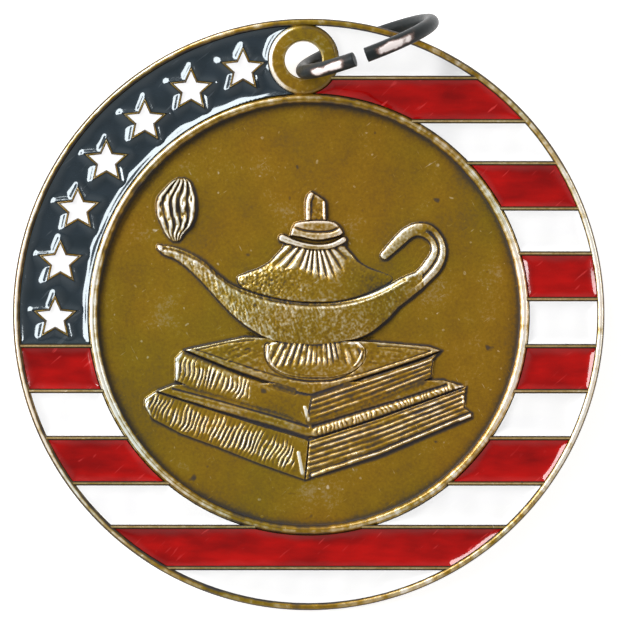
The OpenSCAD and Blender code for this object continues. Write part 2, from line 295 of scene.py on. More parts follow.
def grown(name, tree, values):
    """The plain mesh that a tree makes with these values for its named inputs."""
    carrier = placed(name, bpy.data.meshes.new(name))
    modifier = carrier.modifiers.new("tree", "NODES")
    modifier.node_group = tree
    for item in tree.interface.items_tree:
        if item.in_out == "INPUT" and item.name in values:
            modifier[item.identifier] = values[item.name]
    return made_plain(carrier, modifier)


def round_place(add, radius, turn, level):
    """A place given by its radius, its turn about the z axis and its level."""
    x = maths(add, "MULTIPLY", radius, maths(add, "COSINE", turn))
    y = maths(add, "MULTIPLY", radius, maths(add, "SINE", turn))
    return add("ShaderNodeCombineXYZ", i0=x, i1=y, i2=level).outputs[0]


# A lathe: it turns a chain of points, given as radius and height, about the z axis.
lathe, group, add, close = new_tree("lathe", {
    "Profile": "Object", "Rows": "Int", "Steps": "Int", "Sweep": "Float", "Material": "Material"})
rows = group["Rows"]
steps = group["Steps"]
row_span = maths(add, "SUBTRACT", rows, 1)
sheet = add("GeometryNodeMeshGrid", Size_X=steps, Size_Y=row_span,
            Vertices_X=maths(add, "ADD", steps, 1), Vertices_Y=rows).outputs["Mesh"]
own_place = add("GeometryNodeInputPosition").outputs[0]
on_sheet = add("ShaderNodeSeparateXYZ", i0=own_place).outputs
row = maths(add, "ROUND", maths(add, "MULTIPLY_ADD", row_span, 0.5, on_sheet[1]))
turn = maths(add, "DIVIDE", maths(add, "MULTIPLY_ADD", steps, 0.5, on_sheet[0]), steps)
chain = add("GeometryNodeObjectInfo", Object=group["Profile"]).outputs["Geometry"]
picked = add("GeometryNodeSampleIndex", {"data_type": "FLOAT_VECTOR"}, Geometry=chain, Index=row,
             Value=own_place).outputs["Value"]
section = add("ShaderNodeSeparateXYZ", i0=picked).outputs
spun = round_place(add, section[0], maths(add, "MULTIPLY", turn, group["Sweep"]), section[1])
moved = add("GeometryNodeSetPosition", Geometry=sheet, Position=spun).outputs[0]
close(add("GeometryNodeMergeByDistance", Geometry=moved, Distance=0.0005).outputs[0])


def turned(name, profile, steps, sweep=2 * math.pi):
    """A mesh turned on the lathe from a profile of radius and height."""
    chain = line_object(name + "_profile", [(*p, 0) for p in profile],
                        [(i, i + 1) for i in range(len(profile) - 1)])
    mesh = grown(name, lathe, {"Profile": chain, "Rows": len(profile), "Steps": steps,
                               "Sweep": sweep, "Material": brass})
    bpy.data.objects.remove(chain)
    return mesh


def arc(middle, radius, start, end, steps):
    """Points along an arc between two angles."""
    return [(middle[0] + radius * math.cos(start + (end - start) * i / steps),
             middle[1] + radius * math.sin(start + (end - start) * i / steps)) for i in range(steps + 1)]


def fillet(corner, radius, start, end, steps=5):
    """An arc about a centre, between two angles in degrees."""
    return arc(corner, radius, math.radians(start), math.radians(end), steps)


def clean(mesh):
    """Merges doubles, dissolves slivers and turns the faces outwards."""
    work = bmesh.new()
    work.from_mesh(mesh)
    bmesh.ops.remove_doubles(work, verts=work.verts, dist=0.0004)
    bmesh.ops.dissolve_degenerate(work, edges=work.edges, dist=0.0002)
    bmesh.ops.recalc_face_normals(work, faces=work.faces)
    work.to_mesh(mesh)
    work.free()


def seated(name, mesh, material, nodes=(), sharp=35):
    """Puts a flat-drawn mesh where it lies, hangs it under the root body, and hides the model parts it
    stands in for.
    """
    if material.name not in [m.name for m in mesh.materials if m]:
        mesh.materials.clear()
        mesh.materials.append(material)
    mesh.transform(seat)
    mesh.shade_smooth()
    mesh.set_sharp_from_angle(angle=math.radians(sharp))
    piece = placed(name, mesh)
    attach(piece, "root")
    if nodes:
        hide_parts(*nodes)


def set_tone(mesh, values):
    mesh.attributes.new("tone", "FLOAT", "POINT").data.foreach_set("value", np.clip(values, 0, 1))


bead_r = 0.36
ring_round = 0.5
foot_round = 0.12
back_round = 0.08
body_profile = (
    [(0, field_floor)]
    + [(field_r * share, field_floor) for share in (0.3, 0.6, 0.85, 0.93, 0.96, 0.975, 0.985)]
    + fillet((field_r - foot_round, field_floor + foot_round), foot_round, -90, 0)
    + fillet((field_r + ring_round, wall_top - ring_round), ring_round, 180, 0, 16)[:-1]
    + [(ring_r, cell_floor), (band_mid, cell_floor), (rim_in, cell_floor)]
    + fillet((rim_in + bead_r, medal_h - bead_r), bead_r, 180, 90, 8)[:-1]
    + fillet((medal_r - edge_bevel, medal_h - edge_bevel), edge_bevel, 90, 0, 8)
    + fillet((medal_r - edge_bevel, edge_bevel), edge_bevel, 0, -90, 8)
    + [(back_r + back_round, 0), (back_r, back_round), (back_r, back_depth), (back_r * 0.98, back_depth),
       (0, back_depth)])
body_mesh = turned("medal_body", body_profile, turn_steps)
clean(body_mesh)

# The lug is a low round boss between the rim and the ring, bored through for the jump ring.
boss_round = 0.55
boss_foot = cell_floor - 0.2
boss_flat = 0.3
hole_round = 0.2
hole_in = lug_hole_r + hole_round
boss_profile = ([(0, medal_h), (lug_hole_r + boss_flat, medal_h)]
                + fillet((lug_r - boss_round, medal_h - boss_round), boss_round, 90, 0, 6)
                + [(lug_r, boss_foot), (0, boss_foot)])
hole_profile = ([(0, medal_h + 1), (hole_in, medal_h + 1)]
                + fillet((hole_in, medal_h - hole_round), hole_round, 90, 180)
                + fillet((hole_in, hole_round), hole_round, 180, 270)
                + [(hole_in, -1), (0, -1)])


def cut(mesh, name, profile, operation):
    """The exact union or difference of a mesh and a form that is turned about the lug's middle."""
    other = turned(name, profile, lug_steps)
    clean(other)
    other.transform(Matrix.Translation((lug.x, lug.y, 0)))
    body = placed("cut_body", mesh)
    tool = placed("cut_tool", other)
    modifier = body.modifiers.new("cut", "BOOLEAN")
    modifier.object = tool
    modifier.operation = operation
    modifier.solver = "EXACT"
    result = made_plain(body, modifier)
    bpy.data.objects.remove(tool)
    return result


body_mesh = cut(body_mesh, "boss", boss_profile, "UNION")
body_mesh = cut(body_mesh, "hole", hole_profile, "DIFFERENCE")


def vertices(mesh):
    spots = np.zeros(3 * len(mesh.vertices), np.float32)
    mesh.vertices.foreach_get("co", spots)
    return spots.reshape(-1, 3)


def hump(value, middle, width):
    """1 where a value is at the middle, and less the further away it is."""
    return np.exp(-((value - middle) / width) ** 2)


def eased(value, start, width):
    """0 before the start and 1 past the width, which is negative where it runs the other way."""
    return np.clip((value - start) / width, 0, 1)


# Where the body's metal is rubbed, browned or dark, and where light and shade are painted on it. off_ring
# and off_rim run over a crown, from -1 at its inner foot to 1 at its outer one, and a bearing of 0 is at the
# right.
spots = vertices(body_mesh)
height = spots[:, 2]
from_axis = np.hypot(spots[:, 0], spots[:, 1])
from_lug = np.hypot(spots[:, 0] - lug.x, spots[:, 1] - lug.y)
bearing = np.arctan2(spots[:, 1], spots[:, 0])
off_ring = (from_axis - (field_r + ring_r) / 2) / (ring_w / 2)
off_rim = (from_axis - (rim_in + medal_r) / 2) / (rim_w / 2)
on_ring = (height > field_floor + 0.5) & (np.abs(off_ring) < 1.02)
on_rim = (height > medal_h - 0.7) & (from_axis > rim_in - 0.01)
# Painted light and shade by bearing: the left is painted lighter, the upper right is painted shaded, and the
# inner flanks of the rim and the ring are painted shaded at the upper left and the left.
to_left = np.clip(-np.cos(bearing), 0, 1)
upper_left = hump(bearing, 2.3, 0.4)
shaded = hump(bearing, 0.8, 0.3)
darkened_at_right = shaded + hump(bearing, -0.75, 0.35)
left_inner_shade = hump(np.mod(bearing, 2 * np.pi), 2.75, 0.33)
# Random wear along the rim, with painted shade at the top and the bottom, painted light at the left and the
# right, and darker speckles at the upper and lower right.
wear_and_painted_light = np.sin(23 * bearing + 3 * np.sin(7 * bearing)) + np.sin(61 * bearing + 2) + np.sin(141 * bearing)
wear_and_painted_light = 0.06 * wear_and_painted_light - 0.34 * hump(bearing, 1.45, 0.45) - 0.34 * hump(bearing, -1.7, 0.6)
wear_and_painted_light += 0.1 * np.abs(np.cos(bearing)) ** 3
wear_and_painted_light -= darkened_at_right * (0.18 + 0.12 * np.sin(167 * bearing + 2 * np.sin(31 * bearing)))
# The rim's crown is rubbed pale. On the left its inner flank is painted shaded, with a paler inner edge.
rim_tone = 0.88 - 0.75 * off_rim ** 4 + wear_and_painted_light - 0.3 * upper_left * (off_rim < 0.3)
rim_tone -= to_left * (0.85 * hump(off_rim, -0.55, 0.25) - 0.35 * (off_rim < -0.9))
# Darker lines along the ring, stronger towards the left. The ring is painted lighter on the left and painted
# shaded on its inner half at the upper left and the left.
ring_line = hump(off_ring, 0.56, 0.1) + 0.5 * hump(off_ring, -0.2, 0.1)
ring_tone = np.where(off_ring < 0, 0.86 - 0.42 * off_ring ** 2, 0.9 - 0.75 * off_ring ** 4)
ring_tone += 0.9 * wear_and_painted_light + 0.1 * to_left - 0.3 * upper_left * (off_ring < 0.3)
ring_tone -= (0.2 + 0.06 * np.sin(83 * bearing) + 0.35 * to_left) * ring_line
ring_tone -= left_inner_shade * (0.34 + 0.1 * np.sin(71 * bearing)) * eased(off_ring, 0.1, -0.4)
# The field darkens next to the ring's foot, as patina in the corner and as painted shade.
body_tone = 0.5 - 0.42 * np.exp(-np.abs(field_r - from_axis) / 0.35) * (height < field_floor + 0.5)
body_tone = np.where(on_ring, ring_tone, np.where(on_rim, rim_tone, body_tone))
body_tone[(from_axis > medal_r - 0.5) & (height < medal_h - 0.5)] = 0.3
# A dark line round the medal's outer edge, wider at the upper right and on the left, as painted shade.
body_tone[(from_axis > medal_r - 0.13 - 0.11 * shaded - 0.08 * to_left) & (height > 0.5)] = 0.2
lug_top = (height > medal_h - 0.12) & (from_lug < lug_r - 0.1)
body_tone = np.where(lug_top, 0.52 + 0.06 * np.sin(5 * spots[:, 0] + 2 * np.sin(4 * spots[:, 1])), body_tone)
# The lug's shoulder is paler on its left side, as a painted highlight.
lug_side = np.arctan2(spots[:, 1] - lug.y, lug.x - spots[:, 0])
on_shoulder = (height > medal_h - 0.6) & (from_lug > lug_r - 0.5) & (from_lug < lug_r + 0.05)
body_tone = np.where(on_shoulder, 0.42 + 0.45 * np.clip(1.6 * np.cos(lug_side), 0, 1), body_tone)
body_tone[(height > medal_h - 0.25) & (np.abs(from_lug - lug_hole_r) < 0.25)] = 0.6
set_tone(body_mesh, body_tone)
seated("medal_body", body_mesh, brass, ["medal"])

# The walls between the stripes: thin straight ridges of the same struck brass, a little under the rim.
# Each runs from the ring to the rim, and those at the lug stop there.
walls_up = [share * medal_r for share in (
    0.799, 0.653, 0.511, 0.358, 0.206, 0.052, -0.107, -0.259, -0.418, -0.571, -0.718, -0.857)]
right_walls = 6
wall_w = 0.4
wall_deep = 0.55
wall_bite = 0.2
corner_share = 0.36
wall_runs = []
for i, up in enumerate(walls_up):
    outer = math.sqrt((rim_in + wall_bite) ** 2 - up ** 2)
    if abs(up) > ring_r:
        wall_runs.append((lug.x if up > 0 else -outer, outer, up))
    else:
        inner = math.sqrt(max((ring_r - wall_bite) ** 2 - up ** 2, 0))
        wall_runs.append((inner, outer, up))
        if i >= right_walls:
            wall_runs.append((-outer, -inner, up))


def bar(add, group, corner_steps):
    """The section of a ridge: an upright rectangle with rounded corners."""
    square = add("GeometryNodeCurvePrimitiveQuadrilateral", Width=group["Width"], Height=group["Depth"])
    return add("GeometryNodeFilletCurve", {"mode": "POLY"}, Curve=square.outputs[0], Count=corner_steps,
               Radius=maths(add, "MULTIPLY", group["Width"], corner_share)).outputs[0]


ridges, group, add, close = new_tree("ridges", {
    "Runs": "Object", "Width": "Float", "Depth": "Float", "Material": "Material"})
runs = add("GeometryNodeObjectInfo", Object=group["Runs"]).outputs["Geometry"]
lines = add("GeometryNodeMeshToCurve", Mesh=runs).outputs[0]
lines = add("GeometryNodeSetCurveNormal", {"mode": "Z_UP"}, Curve=lines).outputs[0]
close(add("GeometryNodeCurveToMesh", Curve=lines, Profile_Curve=bar(add, group, 4),
          Fill_Caps=True).outputs[0])
run_ends = [(end, up, wall_top - wall_deep) for start, stop, up in wall_runs for end in (start, stop)]
run_lines = line_object("runs", run_ends, [(i, i + 1) for i in range(0, len(run_ends), 2)])
wall_mesh = grown("stripe_walls", ridges, {
    "Runs": run_lines, "Width": wall_w, "Depth": 2 * wall_deep, "Material": brass})
bpy.data.objects.remove(run_lines)
set_tone(wall_mesh, np.where(vertices(wall_mesh)[:, 2] > wall_top - 0.01, 0.68, 0.18))
seated("stripe_walls", wall_mesh, brass)

# The star outlines: seven thin ridges of brass that fence the white enamel off from the blue.
# They stand upright along the middle of the band, from the lug down to the first full stripe.
star_count = 7
star_r = 2.47
star_wall = 0.16
star_hollow = 0.47
star_side = 0.27
star_foot = 0.82
fence_w = 0.2
fence_deep = 0.5
half_point = math.radians(36)
orbit_share = 0.48
star_orbit = ring_r + orbit_share * band_w
star_from = lug_at + 2 * math.asin((lug_r + star_side + star_r) / (2 * star_orbit))
star_low = walls_up[right_walls] + wall_w / 2 + star_foot + star_r * math.cos(half_point)
star_to = math.pi - math.asin(star_low / star_orbit)
star_middles = arc((0, 0), star_orbit, star_from, star_to, star_count - 1)
tip_sine = math.sin(math.atan(star_hollow * math.sin(half_point) / (1 - star_hollow * math.cos(half_point))))
fence_r = star_r - 0.5 * star_wall / tip_sine
fences, group, add, close = new_tree("star_outlines", {
    "Stars": "Int", "Orbit": "Float", "First": "Float", "Step": "Float", "Radius": "Float",
    "Hollow": "Float", "Width": "Float", "Depth": "Float", "Level": "Float", "Material": "Material"})
points = add("GeometryNodePoints", Count=group["Stars"]).outputs[0]
number = add("GeometryNodeInputIndex").outputs[0]
turn = maths(add, "MULTIPLY_ADD", number, group["Step"], group["First"])
spread_out = add("GeometryNodeSetPosition", Geometry=points,
                 Position=round_place(add, group["Orbit"], turn, group["Level"])).outputs[0]
outline = add("GeometryNodeCurveStar", Points=5, Inner_Radius=group["Hollow"],
              Outer_Radius=group["Radius"]).outputs[0]
outline = add("GeometryNodeTransform", Geometry=outline, Rotation=(0, 0, math.pi / 2)).outputs[0]
outline = add("GeometryNodeSetCurveNormal", {"mode": "Z_UP"}, Curve=outline).outputs[0]
fence = add("GeometryNodeCurveToMesh", Curve=outline, Profile_Curve=bar(add, group, 3)).outputs[0]
close(add("GeometryNodeInstanceOnPoints", Points=spread_out, Instance=fence).outputs[0])
fence_mesh = grown("star_outlines", fences, {
    "Stars": star_count, "Orbit": star_orbit, "First": star_from,
    "Step": (star_to - star_from) / (star_count - 1), "Radius": fence_r, "Hollow": fence_r * star_hollow,
    "Width": fence_w, "Depth": 2 * fence_deep, "Level": wall_top - fence_deep, "Material": brass})
clean(fence_mesh)
spots = vertices(fence_mesh)
from_star = np.min([np.hypot(spots[:, 0] - m[0], spots[:, 1] - m[1]) for m in star_middles], axis=0)
on_point = eased(from_star / star_r, 0.5, 0.4)
set_tone(fence_mesh, 0.3 + 0.42 * on_point * (spots[:, 2] > wall_top - 0.03))
seated("star_outlines", fence_mesh, brass)

# The enamels: hard glass-like fillings, poured between the walls and polished. Each one is level in its
# middle, creeps up the metal round it, and has a slow wave in its gloss. They start clear of the metal.
enamel_gap = 0.04
enamel_floor = cell_floor + enamel_gap
enamel_top = 2.82
enamel_pitch = 0.17
rim_edge = rim_in - enamel_gap
ring_edge = ring_r + enamel_gap
lug_edge = lug_r + enamel_gap
clear = wall_w / 2 + enamel_gap


def on_arc(radius, start, end, middle=(0, 0)):
    """Points along an arc between two angles, about one for each stretch of enamel_pitch."""
    return arc(middle, radius, start, end, max(2, int(abs(end - start) * radius / enamel_pitch) + 1))


def filled_in(outline, pitch):
    """An outline with extra points, so that no stretch is longer than the pitch."""
    dense = []
    for (ax, ay), (bx, by) in zip(outline, outline[1:] + outline[:1]):
        count = max(1, math.ceil(math.hypot(bx - ax, by - ay) / pitch))
        dense += [(ax + (bx - ax) * i / count, ay + (by - ay) * i / count) for i in range(count)]
    return [p for i, p in enumerate(dense) if math.dist(p, dense[i - 1]) > 0.01]


def to_edges(points, outlines):
    """How far inside the first outline, and outside the others, each point lies."""
    x = points[:, 0]
    y = points[:, 1]
    nearest = np.full(len(points), 1e9)
    inside = np.zeros(len(points), bool)
    for outline in outlines:
        for (ax, ay), (bx, by) in zip(outline, outline[1:] + outline[:1]):
            dx = bx - ax
            dy = by - ay
            along = np.clip(((x - ax) * dx + (y - ay) * dy) / (dx * dx + dy * dy), 0, 1)
            nearest = np.minimum(nearest, (x - ax - along * dx) ** 2 + (y - ay - along * dy) ** 2)
            if ay != by:
                inside ^= ((ay > y) != (by > y)) & (x < ax + (y - ay) * dx / (by - ay))
    return np.sqrt(nearest) * np.where(inside, 1, -1)


def tiled(points, links, near=1e-6):
    """Flat points, and triangles between them that have the links as edges."""
    made, _, tiles, _, _, _ = delaunay_2d_cdt([Vector(p) for p in points], links, [], 0, near)
    return np.array([tuple(p) for p in made]), np.array([tuple(t) for t in tiles])


def enamel(node, glass, outlines, creep, dip, pitch=enamel_pitch):
    """A seated closed filling between its floor and a top that rises towards the edges."""
    outlines = [filled_in(outline, pitch) for outline in outlines]
    edge_points = [p for outline in outlines for p in outline]
    low = np.min(edge_points, axis=0)
    high = np.max(edge_points, axis=0)
    inner = np.stack(np.meshgrid(np.arange(low[0], high[0], pitch),
                                 np.arange(low[1], high[1], pitch)), -1).reshape(-1, 2)
    inner[:, 0] += 0.5 * pitch * (np.round((inner[:, 1] - low[1]) / pitch) % 2)
    inner = inner[to_edges(inner, outlines) > 0.6 * pitch]
    links = []
    for outline in outlines:
        first = len(links)
        links += [(first + i, first + (i + 1) % len(outline)) for i in range(len(outline))]
    upper, upper_tiles = tiled(edge_points + inner.tolist(), links)
    under, under_tiles = tiled(edge_points, links)
    upper_tiles = upper_tiles[to_edges(upper[upper_tiles].mean(axis=1), outlines) > 0]
    under_tiles = under_tiles[to_edges(under[under_tiles].mean(axis=1), outlines) > 0]
    x = upper[:, 0]
    y = upper[:, 1]
    lazy = 1 + 0.3 * np.sin(1.1 * x + 0.7 * y) * np.sin(0.6 * y - 0.8 * x + 1)
    wave = 0.012 * (np.sin(0.9 * x + 0.4 * y) + np.sin(0.5 * x - 1.1 * y + 2))
    sunk = 1 - np.exp(-(np.maximum(to_edges(upper, outlines), 0) / (creep * lazy)) ** 1.3)
    top = enamel_top - (dip * (0.6 + 0.5 * lazy ** 2) + wave) * sunk
    points = np.concatenate([np.column_stack([upper, top]),
                             np.column_stack([under, np.full(len(under), enamel_floor)])])
    start = len(upper)
    sides = [(a, b, start + b, start + a) for a, b in links]
    name = "enamel_" + node
    mesh = bpy.data.meshes.new(name)
    mesh.from_pydata(points.tolist(), [], upper_tiles.tolist() + sides + (start + under_tiles).tolist())
    clean(mesh)
    seated(name, mesh, glass, [node], 60)


def glossy(name, deep, light, roughness, ior=1.5, tint=(1, 1, 1)):
    """Polished enamel: two close shades clouded together, with fine scratches, and pits in its gloss."""
    material, add, dress = new_material(name)
    coords = object_place(add)
    streaks = add("ShaderNodeMapping", Vector=coords, Rotation=(0, 0, 0.2), Scale=(160, 520, 160))
    clouded = ramp(add, noise(add, streaks.outputs["Vector"], 1, 4), [(0.35, deep), (0.65, light)])
    scored = scratches(add, coords, 0.75, (330, 2400, 330), 1, Distortion=0.5)
    pale = [min(1, 1.5 * c + 0.05) for c in light]
    scratched = add("ShaderNodeMix", {"data_type": "RGBA"}, i0=spread(add, scored, 0.69, 0.77, 0, 0.55),
                    i6=clouded, i7=(*pale, 1)).outputs[2]
    pits = noise(add, coords, 2400, 2)
    dress(Base_Color=scratched, Roughness=spread(add, pits, 0.35, 0.75, roughness, roughness + 0.08),
          IOR=ior, Specular_Tint=(*tint, 1), Normal=bumped(add, noise(add, coords, 420, 1), 0.3, 0.00004))
    return material


def band_piece(low, high, side):
    """The outline of the band between two heights, on one side or across the whole medal."""
    def arc_up(radius, y):
        return math.asin(max(-1, min(1, y / radius)))

    out_low = arc_up(rim_edge, low)
    out_high = arc_up(rim_edge, high)
    in_high = arc_up(ring_edge, high)
    if low <= -rim_edge:
        return on_arc(rim_edge, math.pi - out_high, 2 * math.pi + out_high)
    right = on_arc(rim_edge, out_low, out_high)
    if side == "bottom":
        return (right + on_arc(ring_edge, in_high, -math.pi - in_high)
                + on_arc(rim_edge, math.pi - out_high, math.pi - out_low))
    right += on_arc(ring_edge, in_high, arc_up(ring_edge, low))
    return right if side == "right" else [(-x, y) for x, y in reversed(right)]


def round_the_lug(low, high, sign):
    """The band beside the lug: the rim's arc, the lug's flank and, where it is reached, the ring's arc."""
    def at_height(radius, up):
        angle = math.asin(up / radius)
        return angle if sign > 0 else math.pi - angle

    def meeting(radius):
        """Where a circle about the axis meets the lug: its bearing from the axis and from the lug."""
        far = math.hypot(lug.x, lug.y)
        off = math.acos((radius * radius + far * far - lug_edge * lug_edge) / (2 * radius * far))
        at = lug_at - sign * off
        around = math.atan2(radius * math.sin(at) - lug.y, radius * math.cos(at) - lug.x)
        return at, around + (2 * math.pi if sign < 0 and around < 0 else 0)

    rim_meet, top = meeting(rim_edge)
    if high < rim_edge:
        rim_meet = math.asin(high / rim_edge)
        top = math.asin((high - lug.y) / lug_edge)
    outer = on_arc(rim_edge, at_height(rim_edge, low), rim_meet)
    if low > ring_edge:
        return outer + on_arc(lug_edge, top, at_height(lug_edge, low - lug.y), lug)
    ring_meet, bottom = meeting(ring_edge)
    return (outer + on_arc(lug_edge, top, bottom, lug)
            + on_arc(ring_edge, ring_meet, at_height(ring_edge, low)))


red = glossy("red_enamel", (0.25, 0.001, 0.001), (0.45, 0.003, 0.002), 0.07, 1.62)
white = glossy("white_enamel", (0.95, 0.95, 0.96), (0.97, 0.97, 0.97), 0.12)
stripe_creep = 0.42
red_dip = 0.276
white_dip = 0.12
lug_stripes = 2
split_stripes = 11

for i in range(len(walls_up) + 1):
    high = rim_edge if i == 0 else walls_up[i - 1] - clear
    low = -rim_edge if i == len(walls_up) else walls_up[i] + clear
    colour, glass, dip = ("red", red, red_dip) if i % 2 else ("white", white, white_dip)
    for side in ["bottom"] if i >= split_stripes else ["right", "left"] if i > right_walls else ["right"]:
        outline = round_the_lug(low, high, 1) if i < lug_stripes else band_piece(low, high, side)
        enamel(f"{colour}_{i + 1}_{side}", glass, [outline], stripe_creep, dip)

# The canton: dark blue enamel round the stars, and white enamel inside their outlines.
# The blue creeps further up the metal than the stripes do, which gives its broad white gleams.
blue = glossy("blue_enamel", (0.018, 0.028, 0.036), (0.024, 0.036, 0.047), 0.04, 1.9, (0.86, 0.95, 1))
canton_creep = 0.62
canton_dip = 0.4
canton_pitch = 0.12
star_creep = 0.2
star_dip = 0.04
star_gap_r = star_r + enamel_gap / tip_sine
star_fill_r = star_r - (star_wall + enamel_gap) / tip_sine


def star_points(middle, radius):
    """A star's corners: its tips with its hollows between them."""
    up = math.pi / 2
    tips = arc(middle, radius, up, up + 8 * half_point, 4)
    hollows = arc(middle, radius * star_hollow, up + half_point, up + 9 * half_point, 4)
    return [point for pair in zip(tips, hollows) for point in pair]


canton = [round_the_lug(walls_up[right_walls] + clear, rim_edge, -1)]
canton += [star_points(middle, star_gap_r) for middle in star_middles]
enamel("blue_field", blue, canton, canton_creep, canton_dip, canton_pitch)
for i, middle in enumerate(star_middles):
    enamel(f"star_{i + 1}", white, [star_points(middle, star_fill_r)], star_creep, star_dip)

# The relief: a lamp of learning with its flame, over two closed books. It is struck with the medal.
# Lengths are shares of the field's radius and heights are millimetres over the field.
relief_pitch = 0.078
relief_step = relief_pitch / field_r
skirt = 0.006
skirt_reach = 0.55
relief_root = 0.12


def relief_grid(left, right, low, high):
    """Points over a part of the field on an even grid, as shares of its radius."""
    return np.meshgrid(np.arange(left, right, relief_step), np.arange(low, high, relief_step))


def smooth(points, count):
    """A smooth line through points, by Catmull-Rom's rule."""
    points = np.array(points, float)
    padded = np.concatenate([points[:1], points, points[-1:]])
    t = np.linspace(0, 1, count, endpoint=False)[:, None]
    parts = [0.5 * (2 * b + (c - a) * t + (2 * a - 5 * b + 4 * c - d) * t ** 2
                    + (3 * b - a - 3 * c + d) * t ** 3)
             for a, b, c, d in zip(padded, padded[1:], padded[2:], padded[3:])]
    return np.concatenate(parts + [points[-1:]])


def off_line(x, y, line):
    """How far each point is from a line, in millimetres, and how far along it, from 0 to 1."""
    line = np.array(line, float)
    lengths = np.hypot(*np.diff(line, axis=0).T)
    start = 0
    nearest = np.full(x.shape, 1e9)
    share = np.zeros(x.shape)
    for (ax, ay), (bx, by), length in zip(line, line[1:], lengths):
        along = np.clip(((x - ax) * (bx - ax) + (y - ay) * (by - ay)) / length ** 2, 0, 1)
        off = np.hypot(x - ax - along * (bx - ax), y - ay - along * (by - ay))
        closer = off < nearest
        nearest = np.where(closer, off, nearest)
        share = np.where(closer, start + along * length, share)
        start += length
    return nearest * field_r, share / start


def within(x, y, outline):
    """How far inside an outline each point lies, in millimetres, and below zero outside it."""
    points = np.column_stack([x.ravel(), y.ravel()])
    return field_r * to_edges(points, [[tuple(p) for p in outline]]).reshape(x.shape)


def raised(inside, top, side=0.2):
    """A form that rises over its outline with a rounded shoulder."""
    t = inside / side
    return np.maximum(top * np.where(t > 0, 1 - (1 - np.clip(t, 0, 1)) ** 2, 2 * t), -0.4)


def bead(height, off, width, rise):
    """Adds a half-round line to a height."""
    return height + rise * np.sqrt(np.clip(1 - (2 * off / width) ** 2, 0, 1))


def groove(height, off, width, deep):
    return height - deep * hump(off, 0, width / 2)


def rough(x, y, size, seed):
    """Smooth random bumps of about this size in millimetres, between -1 and 1."""
    table = np.random.default_rng(seed).uniform(-1, 1, (64, 64))
    u = x * field_r / size + 1000
    v = y * field_r / size + 1000
    i = np.floor(u).astype(int)
    j = np.floor(v).astype(int)
    fu = (u - i) ** 2 * (3 - 2 * (u - i))
    fv = (v - j) ** 2 * (3 - 2 * (v - j))
    low = table[i % 64, j % 64] * (1 - fu) + table[(i + 1) % 64, j % 64] * fu
    high = table[i % 64, (j + 1) % 64] * (1 - fu) + table[(i + 1) % 64, (j + 1) % 64] * fu
    return low * (1 - fv) + high * fv


def fan(x, y, apex, edges, keen=0.7):
    """Ridges that spread from an apex, between bearings in degrees from straight down."""
    bearing = np.degrees(np.arctan2(x - apex[0], apex[1] - y))
    return (0.5 - 0.5 * np.cos(2 * np.pi * np.interp(bearing, edges, np.arange(len(edges))))) ** keen


def blurred(height, size):
    """A height with a soft blur of this size in millimetres."""
    waves_y = np.fft.fftfreq(height.shape[0], relief_pitch)[:, None]
    waves_x = np.fft.fftfreq(height.shape[1], relief_pitch)[None, :]
    fade = np.exp(-2 * (np.pi * size) ** 2 * (waves_x ** 2 + waves_y ** 2))
    return np.real(np.fft.ifft2(np.fft.fft2(height) * fade))


